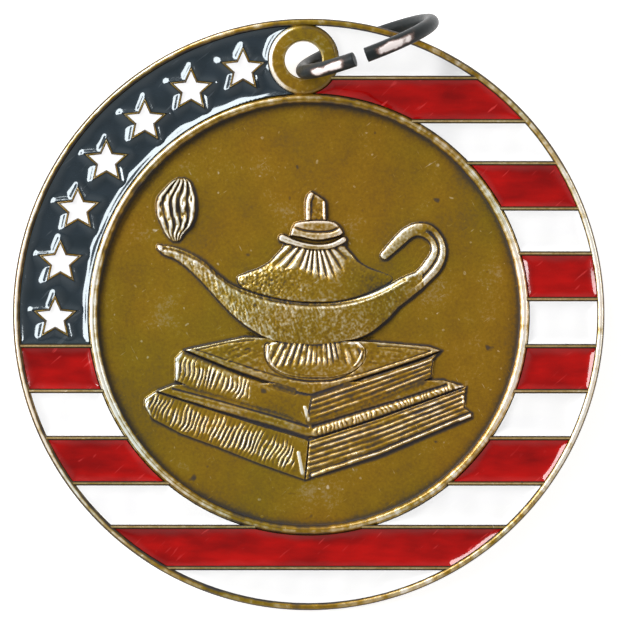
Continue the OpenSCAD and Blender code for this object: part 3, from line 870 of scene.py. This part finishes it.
def relief(name, x, y, height, outline_off, extra_tone, shine):
    """A seated closed mesh: its top on the grid, a thin skirt on the field, and a flat bottom in it."""
    top = np.maximum(height, skirt - 0.2 * np.clip(outline_off - skirt_reach, 0, 1))
    shown = np.maximum(height, 0)
    solid = (height > 0.02).astype(float)
    fine, broad = [shown - blurred(shown * solid, size) / (blurred(solid, size) + 1e-3)
                   for size in (0.16, 0.5)]
    # Ridges are paler and hollows darker, as wear and patina. Slopes that face the upper left are painted
    # lighter and those that face the lower right darker, and the field round each form is darkened, as
    # patina at its foot and as a painted shadow that is darkest on its lower right.
    up_slope, right_slope = np.gradient(blurred(shown, 0.08), relief_pitch)
    up_way, right_way = np.gradient(outline_off, relief_pitch)
    on_top = 0.5 + np.where(fine > 0, shine, 6) * fine + 0.5 * broad
    on_top += 0.2 * np.clip(0.8 * right_slope - 0.6 * up_slope, -1, 1)
    in_shade = 0.24 + 0.2 * np.clip(0.9 * right_way - 0.5 * up_way, -1, 1)
    tone = extra_tone + np.where(height > 0, on_top, 0.5 - in_shade * hump(outline_off, 0, 0.18))

    keep = top > -0.03
    cells = keep[:-1, :-1] & keep[1:, :-1] & keep[:-1, 1:] & keep[1:, 1:]
    number = np.arange(x.size).reshape(x.shape)
    quads = np.stack([number[:-1, :-1], number[:-1, 1:], number[1:, 1:], number[1:, :-1]], -1)[cells]
    used, faces = np.unique(quads, return_inverse=True)
    faces = faces.reshape(-1, 4)
    flat = np.column_stack([x.ravel()[used], y.ravel()[used]]) * field_r
    points = np.column_stack([flat, field_floor + top.ravel()[used]])
    pairs = np.concatenate([faces[:, [i, (i + 1) % 4]] for i in range(4)])
    _, first, times = np.unique(np.sort(pairs, axis=1), axis=0, return_index=True, return_counts=True)
    rim_ids, rim_links = np.unique(pairs[first[times == 1]], return_inverse=True)
    rim_links = rim_links.reshape(-1, 2)
    start = len(points)
    under = np.column_stack([flat[rim_ids], np.full(len(rim_ids), field_floor - relief_root)])
    _, tiles = tiled(flat[rim_ids].tolist(), rim_links.tolist(), 1e-7)
    middle = flat[rim_ids][tiles].mean(axis=1) / field_r
    column = np.clip(((middle[:, 0] - x[0, 0]) / relief_step).astype(int), 0, cells.shape[1] - 1)
    line = np.clip(((middle[:, 1] - y[0, 0]) / relief_step).astype(int), 0, cells.shape[0] - 1)
    tiles = tiles[cells[line, column]]
    walls = [(a, start + i, start + j, b)
             for (a, b), (i, j) in zip(rim_ids[rim_links].tolist(), rim_links.tolist())]
    mesh = bpy.data.meshes.new(name)
    mesh.from_pydata(np.concatenate([points, under]).tolist(), [],
                     faces.tolist() + walls + (start + tiles[:, ::-1]).tolist())
    set_tone(mesh, np.concatenate([tone.ravel()[used], np.full(len(under), 0.3)]))
    seated(name, mesh, brass, sharp=80)


# The lamp stands in the middle: a long bowl with a spout on the left, a fluted lid with a knob, a curled
# handle on the right and a fluted foot. The flame floats over the spout, in five upright tongues.
lamp_h = 1.05
flame_h = 0.65
collar_h = 0.8
neck_ring_h = 0.9
neck_ring_half = 0.4
knob_h = 0.55
foot_h = 0.76
foot_ring_h = 0.61
foot_ring_half = 0.26
lid_at = 0.028
foot_at = 0.033

# A row of BOWL is a place from left to right with its upper edge and its lower one, and a row of HANDLE is
# a point with a width. A row of LID or FOOT is a height with half a width, and a row of FLAME a height
# with its left and its right edge. All but FOOT end with a share of the form's full height.
BOWL = [(-0.719, 0.333, 0.314, 0.30), (-0.693, 0.330, 0.281, 0.38), (-0.627, 0.319, 0.252, 0.42),
        (-0.556, 0.290, 0.196, 0.48), (-0.490, 0.252, 0.129, 0.56), (-0.423, 0.193, 0.054, 0.66),
        (-0.357, 0.144, -0.012, 0.76), (-0.267, 0.106, -0.081, 0.88), (-0.168, 0.080, -0.129, 0.96),
        (-0.060, 0.063, -0.147, 1.00), (0.049, 0.059, -0.149, 1.00), (0.153, 0.066, -0.135, 0.98),
        (0.271, 0.094, -0.105, 0.92), (0.371, 0.137, -0.033, 0.80), (0.432, 0.172, 0.030, 0.70),
        (0.489, 0.196, 0.073, 0.60), (0.545, 0.210, 0.120, 0.50)]
HANDLE = [(0.451, 0.111, 0.095, 0.62), (0.517, 0.158, 0.090, 0.60), (0.578, 0.219, 0.085, 0.58),
          (0.614, 0.285, 0.090, 0.57), (0.607, 0.345, 0.080, 0.56), (0.569, 0.389, 0.073, 0.55),
          (0.517, 0.402, 0.076, 0.54), (0.470, 0.385, 0.066, 0.52), (0.422, 0.342, 0.064, 0.50),
          (0.380, 0.300, 0.058, 0.46), (0.360, 0.280, 0.048, 0.42)]
LID = [(0.050, 0.236, 0.80), (0.115, 0.340, 0.78), (0.172, 0.369, 0.74), (0.196, 0.331, 0.74),
       (0.219, 0.269, 0.73), (0.248, 0.217, 0.71), (0.285, 0.182, 0.66), (0.314, 0.156, 0.60),
       (0.335, 0.150, 0.58)]
COLLAR = [(-0.091, 0.371), (-0.069, 0.429), (-0.021, 0.443), (0.042, 0.447), (0.105, 0.443),
          (0.142, 0.424), (0.163, 0.380), (0.095, 0.355), (0.032, 0.348), (-0.032, 0.361)]
LOWER_RING = [(-0.124, 0.360), (-0.042, 0.331), (0.032, 0.318), (0.105, 0.324), (0.165, 0.352)]
COLLAR_LINE = [(-0.069, 0.413), (-0.021, 0.397), (0.042, 0.390), (0.105, 0.394), (0.142, 0.411)]
KNOB = [(-0.017, 0.440), (-0.019, 0.500), (-0.016, 0.548), (-0.004, 0.572), (0.014, 0.582),
        (0.036, 0.570), (0.058, 0.556), (0.076, 0.542), (0.084, 0.520), (0.085, 0.440)]
FOOT = [(-0.304, 0.057), (-0.291, 0.132), (-0.272, 0.180), (-0.249, 0.210), (-0.220, 0.234),
        (-0.182, 0.241), (-0.154, 0.236), (-0.126, 0.208)]
FOOT_RING = [(-0.192, -0.151), (-0.190, -0.199), (-0.158, -0.251), (-0.095, -0.283), (0.000, -0.300),
             (0.105, -0.296), (0.179, -0.270), (0.232, -0.226), (0.253, -0.178)]
FLAME = [(0.342, -0.643, -0.617, 0.45), (0.356, -0.660, -0.603, 0.60), (0.380, -0.681, -0.589, 0.75),
         (0.418, -0.700, -0.553, 0.90), (0.474, -0.721, -0.531, 1.00), (0.545, -0.721, -0.531, 1.00),
         (0.597, -0.683, -0.544, 0.85), (0.630, -0.650, -0.560, 0.65), (0.647, -0.622, -0.589, 0.45)]

x, y = relief_grid(-0.78, 0.71, -0.34, 0.69)
hammered = 0.014 * rough(x, y, 0.26, 1) + 0.012 * rough(x, y, 0.15, 2)
rows = smooth(BOWL, 6)
bowl_in = within(x, y, np.concatenate([rows[:, :2], rows[::-1, [0, 2]]]))
upper, lower, level = [np.interp(x, rows[:, 0], rows[:, i]) for i in (1, 2, 3)]
belly_across = np.clip((y - lower) / (upper - lower), 0, 1)
low_edge = 0.3 + 0.32 * eased(np.abs(x), 0.42, -0.1)
belly = low_edge + (1 - low_edge) * np.clip(1 - (1.25 * belly_across - 0.95) ** 2, 0, 1) ** 0.6
belly = lamp_h * level * belly + hammered * np.clip(1.5 - belly_across, 0.3, 1)
belly += 0.04 * rough(2.1 * x + 0.6 * y, 0.5 * y, 0.3, 4) * np.clip(0.35 - 2.0 * x, 0.15, 1)
bowl = raised(bowl_in, belly, 0.24)
lip_off, lip_along = off_line(x, y, rows[4:-10, :2] - (0, 0.012))
lip_bright = np.clip(1.6 * np.abs(lip_along - 0.5) - 0.1, 0.1, 1)
bowl = np.where(bowl_in > 0, bead(bowl, np.abs(lip_off - 0.38), 0.34, 0.1 * lip_bright), bowl)
trough_off, _ = off_line(x, y, [(-0.68, 0.310), (-0.633, 0.300), (-0.580, 0.281), (-0.545, 0.262)])
tip_off = np.hypot(x + 0.706, y - 0.314) * field_r
bowl = bead(groove(bowl, trough_off, 0.6, 0.13), tip_off, 0.75, 0.2)

rows = smooth(HANDLE, 6)
handle_off, handle_along = off_line(x, y, rows[:, :2])
wide, level = [np.interp(handle_along, np.linspace(0, 1, len(rows)), rows[:, i]) for i in (2, 3)]
wide = wide * field_r / 2
tube = 0.45 + 0.55 * np.sqrt(np.clip(1 - (handle_off / wide) ** 2, 0, 1))
handle = raised(wide - handle_off, lamp_h * level * tube + 0.4 * hammered)
folded = eased(handle_along, 0.06, 0.05) * eased(handle_along, 0.62, -0.05)
handle = groove(handle, handle_off, 0.42, 0.3 * folded)


def mirrored(rows, middle):
    """An outline from rows of height and half width, on both sides of an upright middle line."""
    return np.concatenate([np.column_stack([middle - rows[:, 1], rows[:, 0]]),
                           np.column_stack([middle + rows[::-1, 1], rows[::-1, 0]])])


rows = smooth(LID, 6)
lid_in = within(x, y, mirrored(rows, lid_at))
half, level = [np.interp(y, rows[:, 0], rows[:, i]) for i in (1, 2)]
crown = np.sqrt(np.clip(1 - ((x - lid_at) / half) ** 2, 0, 1))
flute_apex = (0.030, 0.411)
flutes = fan(x, y, flute_apex, [-78, -62, -46, -35.5, -21, -12, -4.5, 5, 13.5, 22, 33, 45, 60])
flute_far = np.hypot(x - flute_apex[0], y - flute_apex[1])
flute_fade = eased(flute_far, 0.25 + 0.05 * rough(x, y, 1.1, 5), -0.06)
lid_top = lamp_h * level * (0.14 + 0.86 * crown) + 0.24 * (flutes - 0.6) * flute_fade
lid_top += 2.4 * hammered * (1 - flute_fade) * np.clip(0.4 - 4 * x, 0.1, 1.6)
lid_top *= 1 - 0.75 * eased(x, 0.2, 0.15)
lid = raised(lid_in, np.maximum(lid_top, 0.08))

collar_in = within(x, y, smooth(COLLAR + COLLAR[:1], 4)[:-1])
collar_off, _ = off_line(x, y, smooth(COLLAR_LINE, 4))
collar = groove(raised(collar_in, collar_h), collar_off, 0.32, 0.22)
ring_off, ring_along = off_line(x, y, smooth(LOWER_RING, 5))
ring_half = neck_ring_half + 0.08 * np.clip(1 - 6 * ring_along, 0, 1)
neck_ring = raised(ring_half - ring_off, neck_ring_h + 0.06 * np.cos(np.pi * ring_along), 0.26)
knob_in = within(x, y, smooth(KNOB, 4))
left_off, _ = off_line(x, y, [(-0.004, 0.450), (-0.003, 0.530), (0.011, 0.568)])
right_off, _ = off_line(x, y, [(0.076, 0.453), (0.072, 0.530)])
knob = bead(bead(raised(knob_in, knob_h, 0.22), left_off, 0.55, 0.26), right_off, 0.32, 0.16)
knob += 1.5 * hammered

foot_in = within(x, y, mirrored(smooth(FOOT, 6), foot_at))
foot_edges = [-40, -34, -29, -25, -21, -17, -13, -9, -5.5, -2, 1.5, 5, 8.5, 12, 16, 21, 26, 32, 40]
foot_flutes = fan(x, y, (0.053, 0.202), foot_edges, 0.9)
foot_flutes *= np.clip(0.65 + 0.8 * rough(x, 0.7 * y, 0.6, 6), 0.15, 1.2)
foot_reach = eased(y, -0.245 - 0.25 * np.abs(x - foot_at) ** 1.5, 0.03)
foot = raised(foot_in, foot_h + 0.18 * (foot_flutes - 0.5) * foot_reach + 0.6 * hammered)
foot_off, foot_along = off_line(x, y, smooth(FOOT_RING, 5))
ring_ends = np.abs(2 * foot_along - 1) ** 1.5
foot = np.maximum(foot, raised(foot_ring_half - foot_off, foot_ring_h + 0.3 * ring_ends, 0.24))

rows = smooth(FLAME, 6)
flame_in = within(x, y, np.concatenate([rows[:, [1, 0]], rows[::-1, [2, 0]]]))
left, right, level = [np.interp(y, rows[:, 0], rows[:, i]) for i in (1, 2, 3)]
across = np.clip((x - left) / np.maximum(right - left, 1e-6), 0, 1)
across = across + 0.04 * np.sin(27 * y) * np.sin(np.pi * across)
tongues = (0.5 - 0.5 * np.cos(10 * np.pi * across)) ** 0.8
tongues = tongues * (0.75 + 0.6 * rough(1.5 * x, 0.8 * y, 0.45, 9))
flame = raised(flame_in, flame_h * level * (0.4 + 0.8 * tongues))

lamp_height = np.maximum.reduce([bowl, handle, lid, collar, neck_ring, knob, foot, flame])
lip_deep = 0.45 * np.sin(np.pi * np.clip(lip_along, 0.04, 0.94)) ** 0.6
lamp_height = np.where(bowl_in > -0.4, groove(lamp_height, lip_off, 0.5, lip_deep), lamp_height)
outline_off = -np.maximum.reduce([bowl_in, wide - handle_off, lid_in - 0.4 * eased(x, 0.2, 0.12), collar_in,
                                  ring_half - ring_off, knob_in, foot_in, flame_in])
lamp_tone = (0.1 * rough(x, y, 0.2, 3) + 0.03) * (lamp_height > 0)
lamp_tone += 0.12 * (flame_in > 0) + 0.08 * (lid_in > 0) * flute_fade
streaked = rough(x + 0.5 * y, 0.22 * y - 0.1 * x, 0.13, 7) + 0.7 * rough(x, y, 0.11, 8)
# The bowl's metal is streaked and is painted lighter to the left and darker to the right, as light and
# shade. It is also darker under the middle of its lip and along the belly's lower edge.
on_bowl = 0.05 - 0.1 * x + 0.08 * streaked * np.clip(0.9 - 0.9 * x, 0.4, 1.3)
on_bowl -= 0.24 * hump(lip_off, 0.36, 0.2) * np.clip(1.1 - 1.3 * lip_bright, 0, 1)
on_bowl -= 0.16 * (belly_across < 0.4) * hump(bowl_in, 0.12, 0.2)
lamp_tone += (bowl_in > 0) * on_bowl
# The foot ring and the neck ring are darker in their middles, so that their ends show as painted highlights.
lamp_tone -= 0.2 * (foot_off < 0.3) * (1 - np.clip(1.3 * ring_ends, 0, 1))
lamp_tone -= 0.28 * (ring_off < ring_half) * np.clip(1.2 - np.abs(2.6 * ring_along - 1.3), 0, 1)
# The handle is painted lighter as a highlight, except at the top of its curl, which is darker.
lamp_tone += (handle_off < wide) * (bowl_in < 0) * (0.14 - 0.26 * hump(handle_along, 0.58, 0.1))
relief("lamp_relief", x, y, lamp_height, outline_off, lamp_tone, 3.8)

# The two books lie shut under the lamp, the upper one a little smaller. Each shows its cover from above,
# its ribbed spine on the left and its pages on the right, with the edges of both boards cut in as lines.
upper_cover_h = 0.55
lower_cover_h = 0.42
upper_spine_rise = 0.22
upper_pages_rise = 0.2
lower_leaves = 7
upper_leaves = 5
rib_pitch = 0.5
side_round = 0.16
cover_round = 0.14
tick_count = 34
x, y = relief_grid(-0.83, 0.83, -0.84, -0.05)
wobble = rough(x, y, 0.8, 21)
grit = 0.02 * rough(x, y, 0.3, 22)


def between(line_a, line_b):
    """How far across a face each point is, from 0 on one line to 1 on the other."""
    off_a, _ = off_line(x, y, line_a)
    off_b, _ = off_line(x, y, line_b)
    return off_a / (off_a + off_b)


def ribbed(top_line, low_line, start, end, lean):
    """A rounded spine with short upright ribs between two places along it."""
    share = between(low_line, top_line)
    along = x * field_r - lean * y * field_r + 0.22 * rough(x, y, 1.3, 23)
    number = np.floor(along / rib_pitch).astype(int) % 64
    gain, start_at, end_at = np.random.default_rng(31).uniform(0, 1, (3, 64))
    rib = (0.5 - 0.5 * np.cos(2 * np.pi * along / rib_pitch)) ** 0.8
    strength = eased(x, start, 0.02) * eased(x, end, -0.02)
    strength = strength * np.clip(0.8 + 0.3 * wobble + 0.4 * rough(x, 1.4 * y, 0.6, 29), 0.3, 1.2)
    strength = strength * (0.5 + 0.7 * gain[number])
    strength = strength * np.clip((share - 0.25 * start_at[number]) / 0.1, 0.2, 1)
    strength = strength * np.clip((1 - 0.3 * end_at[number] - share) / 0.1, 0.2, 1)
    strength = strength * np.sin(np.pi * np.clip(share, 0.02, 0.98)) ** 0.5
    return 0.2 + 0.12 * np.sin(np.pi * share) ** 0.7 + 0.23 * (rib - 0.55) * strength


def leaves(top_line, low_line, count):
    """The pages' fore edge: thin raised lines that run side by side, a little broken."""
    share = between(low_line, top_line) + 0.006 * wobble
    number = np.floor(count * share + 0.5).astype(int)
    gain = np.random.default_rng(32).uniform(0.45, 1.15, 16)
    line = 0.5 + 0.5 * np.cos(2 * np.pi * count * share)
    broken = 0.85 + 0.5 * rough(0.3 * x, y, 0.5, 24)
    return 0.2 + 0.13 * line ** 1.6 * broken * gain[number % 16] + 0.04 * share


def strokes(angle, size):
    """Short engraved strokes that run at an angle."""
    a = math.radians(angle)
    return rough((x * math.cos(a) + y * math.sin(a)) * 0.16, y * math.cos(a) - x * math.sin(a), size, 25)


# A book's spine and its pages each lie between an upper and a lower line, drawn from left to right. The
# cover lies behind the upper ones. The lower book's cover has one more corner there, its fold.
fold = [(-0.018, -0.587)]
spine_top = [(-0.778, -0.400), (-0.724, -0.364), (-0.483, -0.442), (-0.241, -0.521), (0.002, -0.598)]
spine_low = [(-0.778, -0.436), (-0.741, -0.497), (-0.603, -0.569), (-0.422, -0.635), (-0.241, -0.707),
             (-0.121, -0.750), (-0.017, -0.786)]
pages_top = [(0.002, -0.598), (0.337, -0.490), (0.747, -0.340)]
pages_low = [(-0.017, -0.786), (0.334, -0.678), (0.774, -0.491)]
low_spine_in = within(x, y, spine_top[:4] + fold + spine_top[4:] + spine_low[::-1])
low_pages_in = within(x, y, pages_top + [(0.738, -0.438), (0.774, -0.466)] + pages_low[::-1])
low_cover_in = within(x, y, [(-0.636, -0.329), (0.635, -0.308)] + pages_top[::-1] + fold + spine_top[3:0:-1])
lower_spine = raised(low_spine_in, ribbed(spine_top, spine_low, -0.8, -0.06, 0.42), side_round)
lower_pages = raised(low_pages_in, leaves(pages_top, pages_low, lower_leaves), side_round)
edge_off, _ = off_line(x, y, [(0.02, -0.762), (0.334, -0.658), (0.765, -0.478)])
lower_pages = groove(bead(lower_pages, edge_off, 0.3, 0.1), np.abs(edge_off - 0.3), 0.22, 0.12)
lower_cover = raised(low_cover_in, lower_cover_h + grit, cover_round)
left_off, _ = off_line(x, y, [(-0.690, -0.368), (-0.378, -0.452), (-0.171, -0.512), (-0.01, -0.562)])
right_off, right_along = off_line(x, y, [(0.03, -0.560), (0.241, -0.494), (0.458, -0.418), (0.71, -0.342)])
ticks = 0.06 * np.sin(2 * np.pi * right_along * tick_count + 4 * wobble) * np.clip(1 - right_off / 0.8, 0, 1)
ticks += 0.05 * strokes(-14, 0.3) * np.clip(1 - left_off / 0.8, 0, 1)
lower_cover += np.where(low_cover_in > 0, ticks, 0)
for line, width, deep in (
        ([(-0.736, -0.376), (-0.519, -0.440), (-0.236, -0.516), (0.010, -0.588)], 0.6, 0.34),
        ([(-0.640, -0.352), (-0.378, -0.422), (-0.171, -0.480), (0.000, -0.532)], 0.26, 0.16),
        ([(0.010, -0.592), (0.241, -0.522), (0.458, -0.446), (0.735, -0.349)], 0.45, 0.28),
        ([(0.024, -0.530), (0.241, -0.462), (0.458, -0.397), (0.650, -0.334)], 0.45, 0.26)):
    lower_cover = groove(lower_cover, off_line(x, y, line)[0], width, deep)
lower_book = np.maximum.reduce([lower_spine, lower_pages, lower_cover])

spine_top = [(-0.633, -0.207), (-0.594, -0.168), (-0.326, -0.280), (-0.078, -0.364), (0.018, -0.382)]
spine_low = [(-0.633, -0.316), (-0.543, -0.352), (-0.332, -0.412), (-0.096, -0.479), (-0.012, -0.523)]
pages_top = [(0.018, -0.382), (0.250, -0.304), (0.515, -0.219), (0.632, -0.171)]
pages_low = [(-0.012, -0.523), (0.290, -0.419), (0.581, -0.301)]
cover_back = [(-0.543, -0.156), (-0.302, -0.105), (0.298, -0.126), (0.575, -0.150)]
spine_in = within(x, y, spine_top + spine_low[::-1])
pages_in = within(x, y, pages_top + [(0.588, -0.216)] + pages_low[::-1])
cover_in = within(x, y, cover_back + pages_top[::-1] + spine_top[3:0:-1])
ribs = ribbed(spine_top, spine_low, -0.64, -0.27, 0.3)
upper_spine = raised(spine_in, upper_spine_rise + ribs, side_round)
page_lines = leaves(pages_top, pages_low, upper_leaves)
upper_pages = raised(pages_in, upper_pages_rise + page_lines, side_round)
upper_cover = raised(cover_in, upper_cover_h + grit, cover_round)
etched = np.where(x < 0, strokes(22, 0.2) + 0.7 * strokes(-24, 0.2), strokes(-8, 0.2))
etched_part = eased(np.abs(x - foot_at), 0.24, 0.03) * eased(cover_in, 0.6, 0.2)
upper_cover += np.where(cover_in > 0, 0.04 * etched * etched_part, 0)
for line, width, deep in (
        ([(-0.600, -0.176), (-0.410, -0.252), (-0.236, -0.312), (-0.070, -0.364)], 0.6, 0.36),
        ([(-0.548, -0.162), (-0.410, -0.208), (-0.258, -0.259), (-0.120, -0.300), (0.0, -0.318),
          (0.110, -0.314), (0.250, -0.280), (0.458, -0.213), (0.575, -0.174)], 0.22, 0.1),
        ([(-0.529, -0.170), (-0.388, -0.136), (-0.258, -0.121)], 0.2, 0.08),
        ([(0.328, -0.150), (0.458, -0.157), (0.576, -0.172)], 0.2, 0.08),
        ([(0.628, -0.182), (0.458, -0.240), (0.241, -0.312), (0.024, -0.384)], 0.42, 0.36)):
    line_off, _ = off_line(x, y, line)
    upper_cover = groove(upper_cover, line_off, width, deep)
    upper_spine = np.where(spine_in > 0, groove(upper_spine, line_off, width, 0.6 * deep), upper_spine)
    upper_pages = np.where(pages_in > 0, groove(upper_pages, line_off, width, 0.6 * deep), upper_pages)
foot_off, _ = off_line(x, y, smooth(FOOT_RING, 5))
upper_cover = groove(upper_cover, np.abs(foot_off - 0.34), 0.26, 0.1)
upper_book = np.maximum.reduce([upper_spine, upper_pages, upper_cover])

book_height = np.maximum(lower_book, upper_book)
upper_off = np.maximum.reduce([spine_in, pages_in, cover_in])
# A painted shadow: the lower book is darker next to the upper one.
shade = np.where((upper_off < 0) & (lower_book > 0), hump(upper_off, 0, 0.3), 0)
book_tone = -0.22 * shade + 0.05 * rough(x, y, 0.25, 26) * (book_height > 0)
on_pages = (pages_in > 0) | ((low_pages_in > 0) & (upper_off < 0))
book_tone -= (0.09 + 0.1 * rough(x, y, 0.5, 29)) * on_pages
# The covers are darker along their edges, broken up by noise.
cover_edge_darkening = 0.3 * np.clip(0.8 + 0.8 * rough(x, y, 0.8, 30), 0, 1)
book_tone -= cover_edge_darkening * (hump(cover_in, 0, 0.16) + hump(low_cover_in, 0, 0.16) * (upper_off < 0))
# Painted highlights, each on a low bead: the rounded left ends and front corners of the spines, and the ends
# and corners of the pages and the lower cover.
for line, width, gain in (
        ([(-0.603, -0.180), (-0.622, -0.215), (-0.624, -0.300)], 0.45, 0.34),
        ([(-0.723, -0.367), (-0.760, -0.392), (-0.768, -0.432), (-0.752, -0.475)], 0.45, 0.34),
        ([(-0.017, -0.440), (0.000, -0.499)], 0.4, 0.4),
        ([(-0.047, -0.655), (-0.030, -0.750)], 0.4, 0.4),
        ([(0.588, -0.226), (0.584, -0.292)], 0.3, 0.4),
        ([(0.728, -0.388), (0.740, -0.432)], 0.3, 0.35),
        ([(0.700, -0.352), (0.742, -0.338)], 0.4, 0.4),
        ([(0.720, -0.500), (0.770, -0.482)], 0.35, 0.35)):
    line_off, _ = off_line(x, y, line)
    book_tone += gain * hump(line_off, 0, width / 2)
    book_height = np.where(book_height > 0, bead(book_height, line_off, width, 0.07), book_height)
outline_off = -np.maximum.reduce([upper_off, low_spine_in, low_pages_in, low_cover_in])
relief("book_relief", x, y, book_height, outline_off, book_tone, 3)

# The jump ring: a round steel wire, bent to a ring and threaded through the lug. Its square-cut ends are
# left a little apart at the top, and it stands through the hole with its lower half under the rim.
loop_d = 13.1
wire_d = 1.6
loop_cut = 1.3
cut_at = math.radians(100)
loop_turn = math.radians(21)
loop_r = (loop_d + wire_d) / 2
cut_angle = loop_cut / loop_r
wire_steps = 28
loop_steps = 260
nick = 0.09
ring_mesh = turned("jump_ring", arc((loop_r, 0), wire_d / 2, 0, 2 * math.pi, wire_steps), loop_steps,
                   2 * math.pi - cut_angle)
work = bmesh.new()
work.from_mesh(ring_mesh)
bmesh.ops.remove_doubles(work, verts=work.verts, dist=0.0005)
bmesh.ops.holes_fill(work, edges=[e for e in work.edges if e.is_boundary], sides=0)
ends = [f for f in work.faces if len(f.verts) > 4]
end_edges = list({e for f in ends for e in f.edges})
bmesh.ops.bevel(work, geom=end_edges, offset=nick, segments=3, profile=0.6, affect="EDGES")
bmesh.ops.recalc_face_normals(work, faces=work.faces)
work.to_mesh(ring_mesh)
work.free()

# A painted highlight: the outer side of the wire near the cut, on both sides of it, is set pale in its tone.
spots = vertices(ring_mesh)
bearing = np.arctan2(spots[:, 1], spots[:, 0])
from_cut = np.abs(np.remainder(bearing + cut_angle / 2 + math.pi, 2 * math.pi) - math.pi)
outward = (np.hypot(spots[:, 0], spots[:, 1]) - loop_r) / (wire_d / 2)
set_tone(ring_mesh, np.clip(3.2 * outward - 2.2, 0, 0.9) * eased(from_cut, 0.86, -0.12)
         * eased(from_cut, 0.2, 0.1))
steel, add, dress = new_material("dark_steel")
coords = object_place(add)
# The tone's painted highlight, broken up by noise, runs from dark steel to pale pinkish cream.
rub_and_painted_glint = maths(add, "ADD", add("ShaderNodeAttribute", {"attribute_name": "tone"}).outputs["Fac"],
               spread(add, noise(add, coords, 760, 5), 0.3, 0.7, -0.4, 0.32))
drawn = noise(add, coords, 2600, 3)
dress(Base_Color=ramp(add, rub_and_painted_glint, [(0.05, (0.022, 0.026, 0.027)), (0.3, (0.038, 0.034, 0.032)),
                                    (0.55, (0.22, 0.15, 0.13)), (0.8, (0.95, 0.86, 0.83))]),
      Metallic=0.1, Specular_IOR_Level=0.12, Roughness=spread(add, drawn, 0.3, 0.7, 0.3, 0.45),
      Normal=bumped(add, drawn, 0.3, 0.00003))

loop_middle = seat.inverted() @ Vector(mounts["ribbon_loop"]["pos_m"])
loop_axis = (tilt.inverted() @ Vector(mounts["ribbon_loop"]["axis"])).normalized()
level_way = Vector((math.cos(loop_turn), math.sin(loop_turn), 0))
rising_way = loop_axis.cross(level_way).normalized()
level_way = rising_way.cross(loop_axis)
stand = Matrix((level_way, rising_way, loop_axis)).transposed().to_4x4()
ring_mesh.transform(Matrix.Translation(loop_middle) @ stand
                    @ Matrix.Rotation(cut_at + cut_angle / 2, 4, "Z"))
seated("jump_ring_wire", ring_mesh, steel, ["jump_ring"], 50)
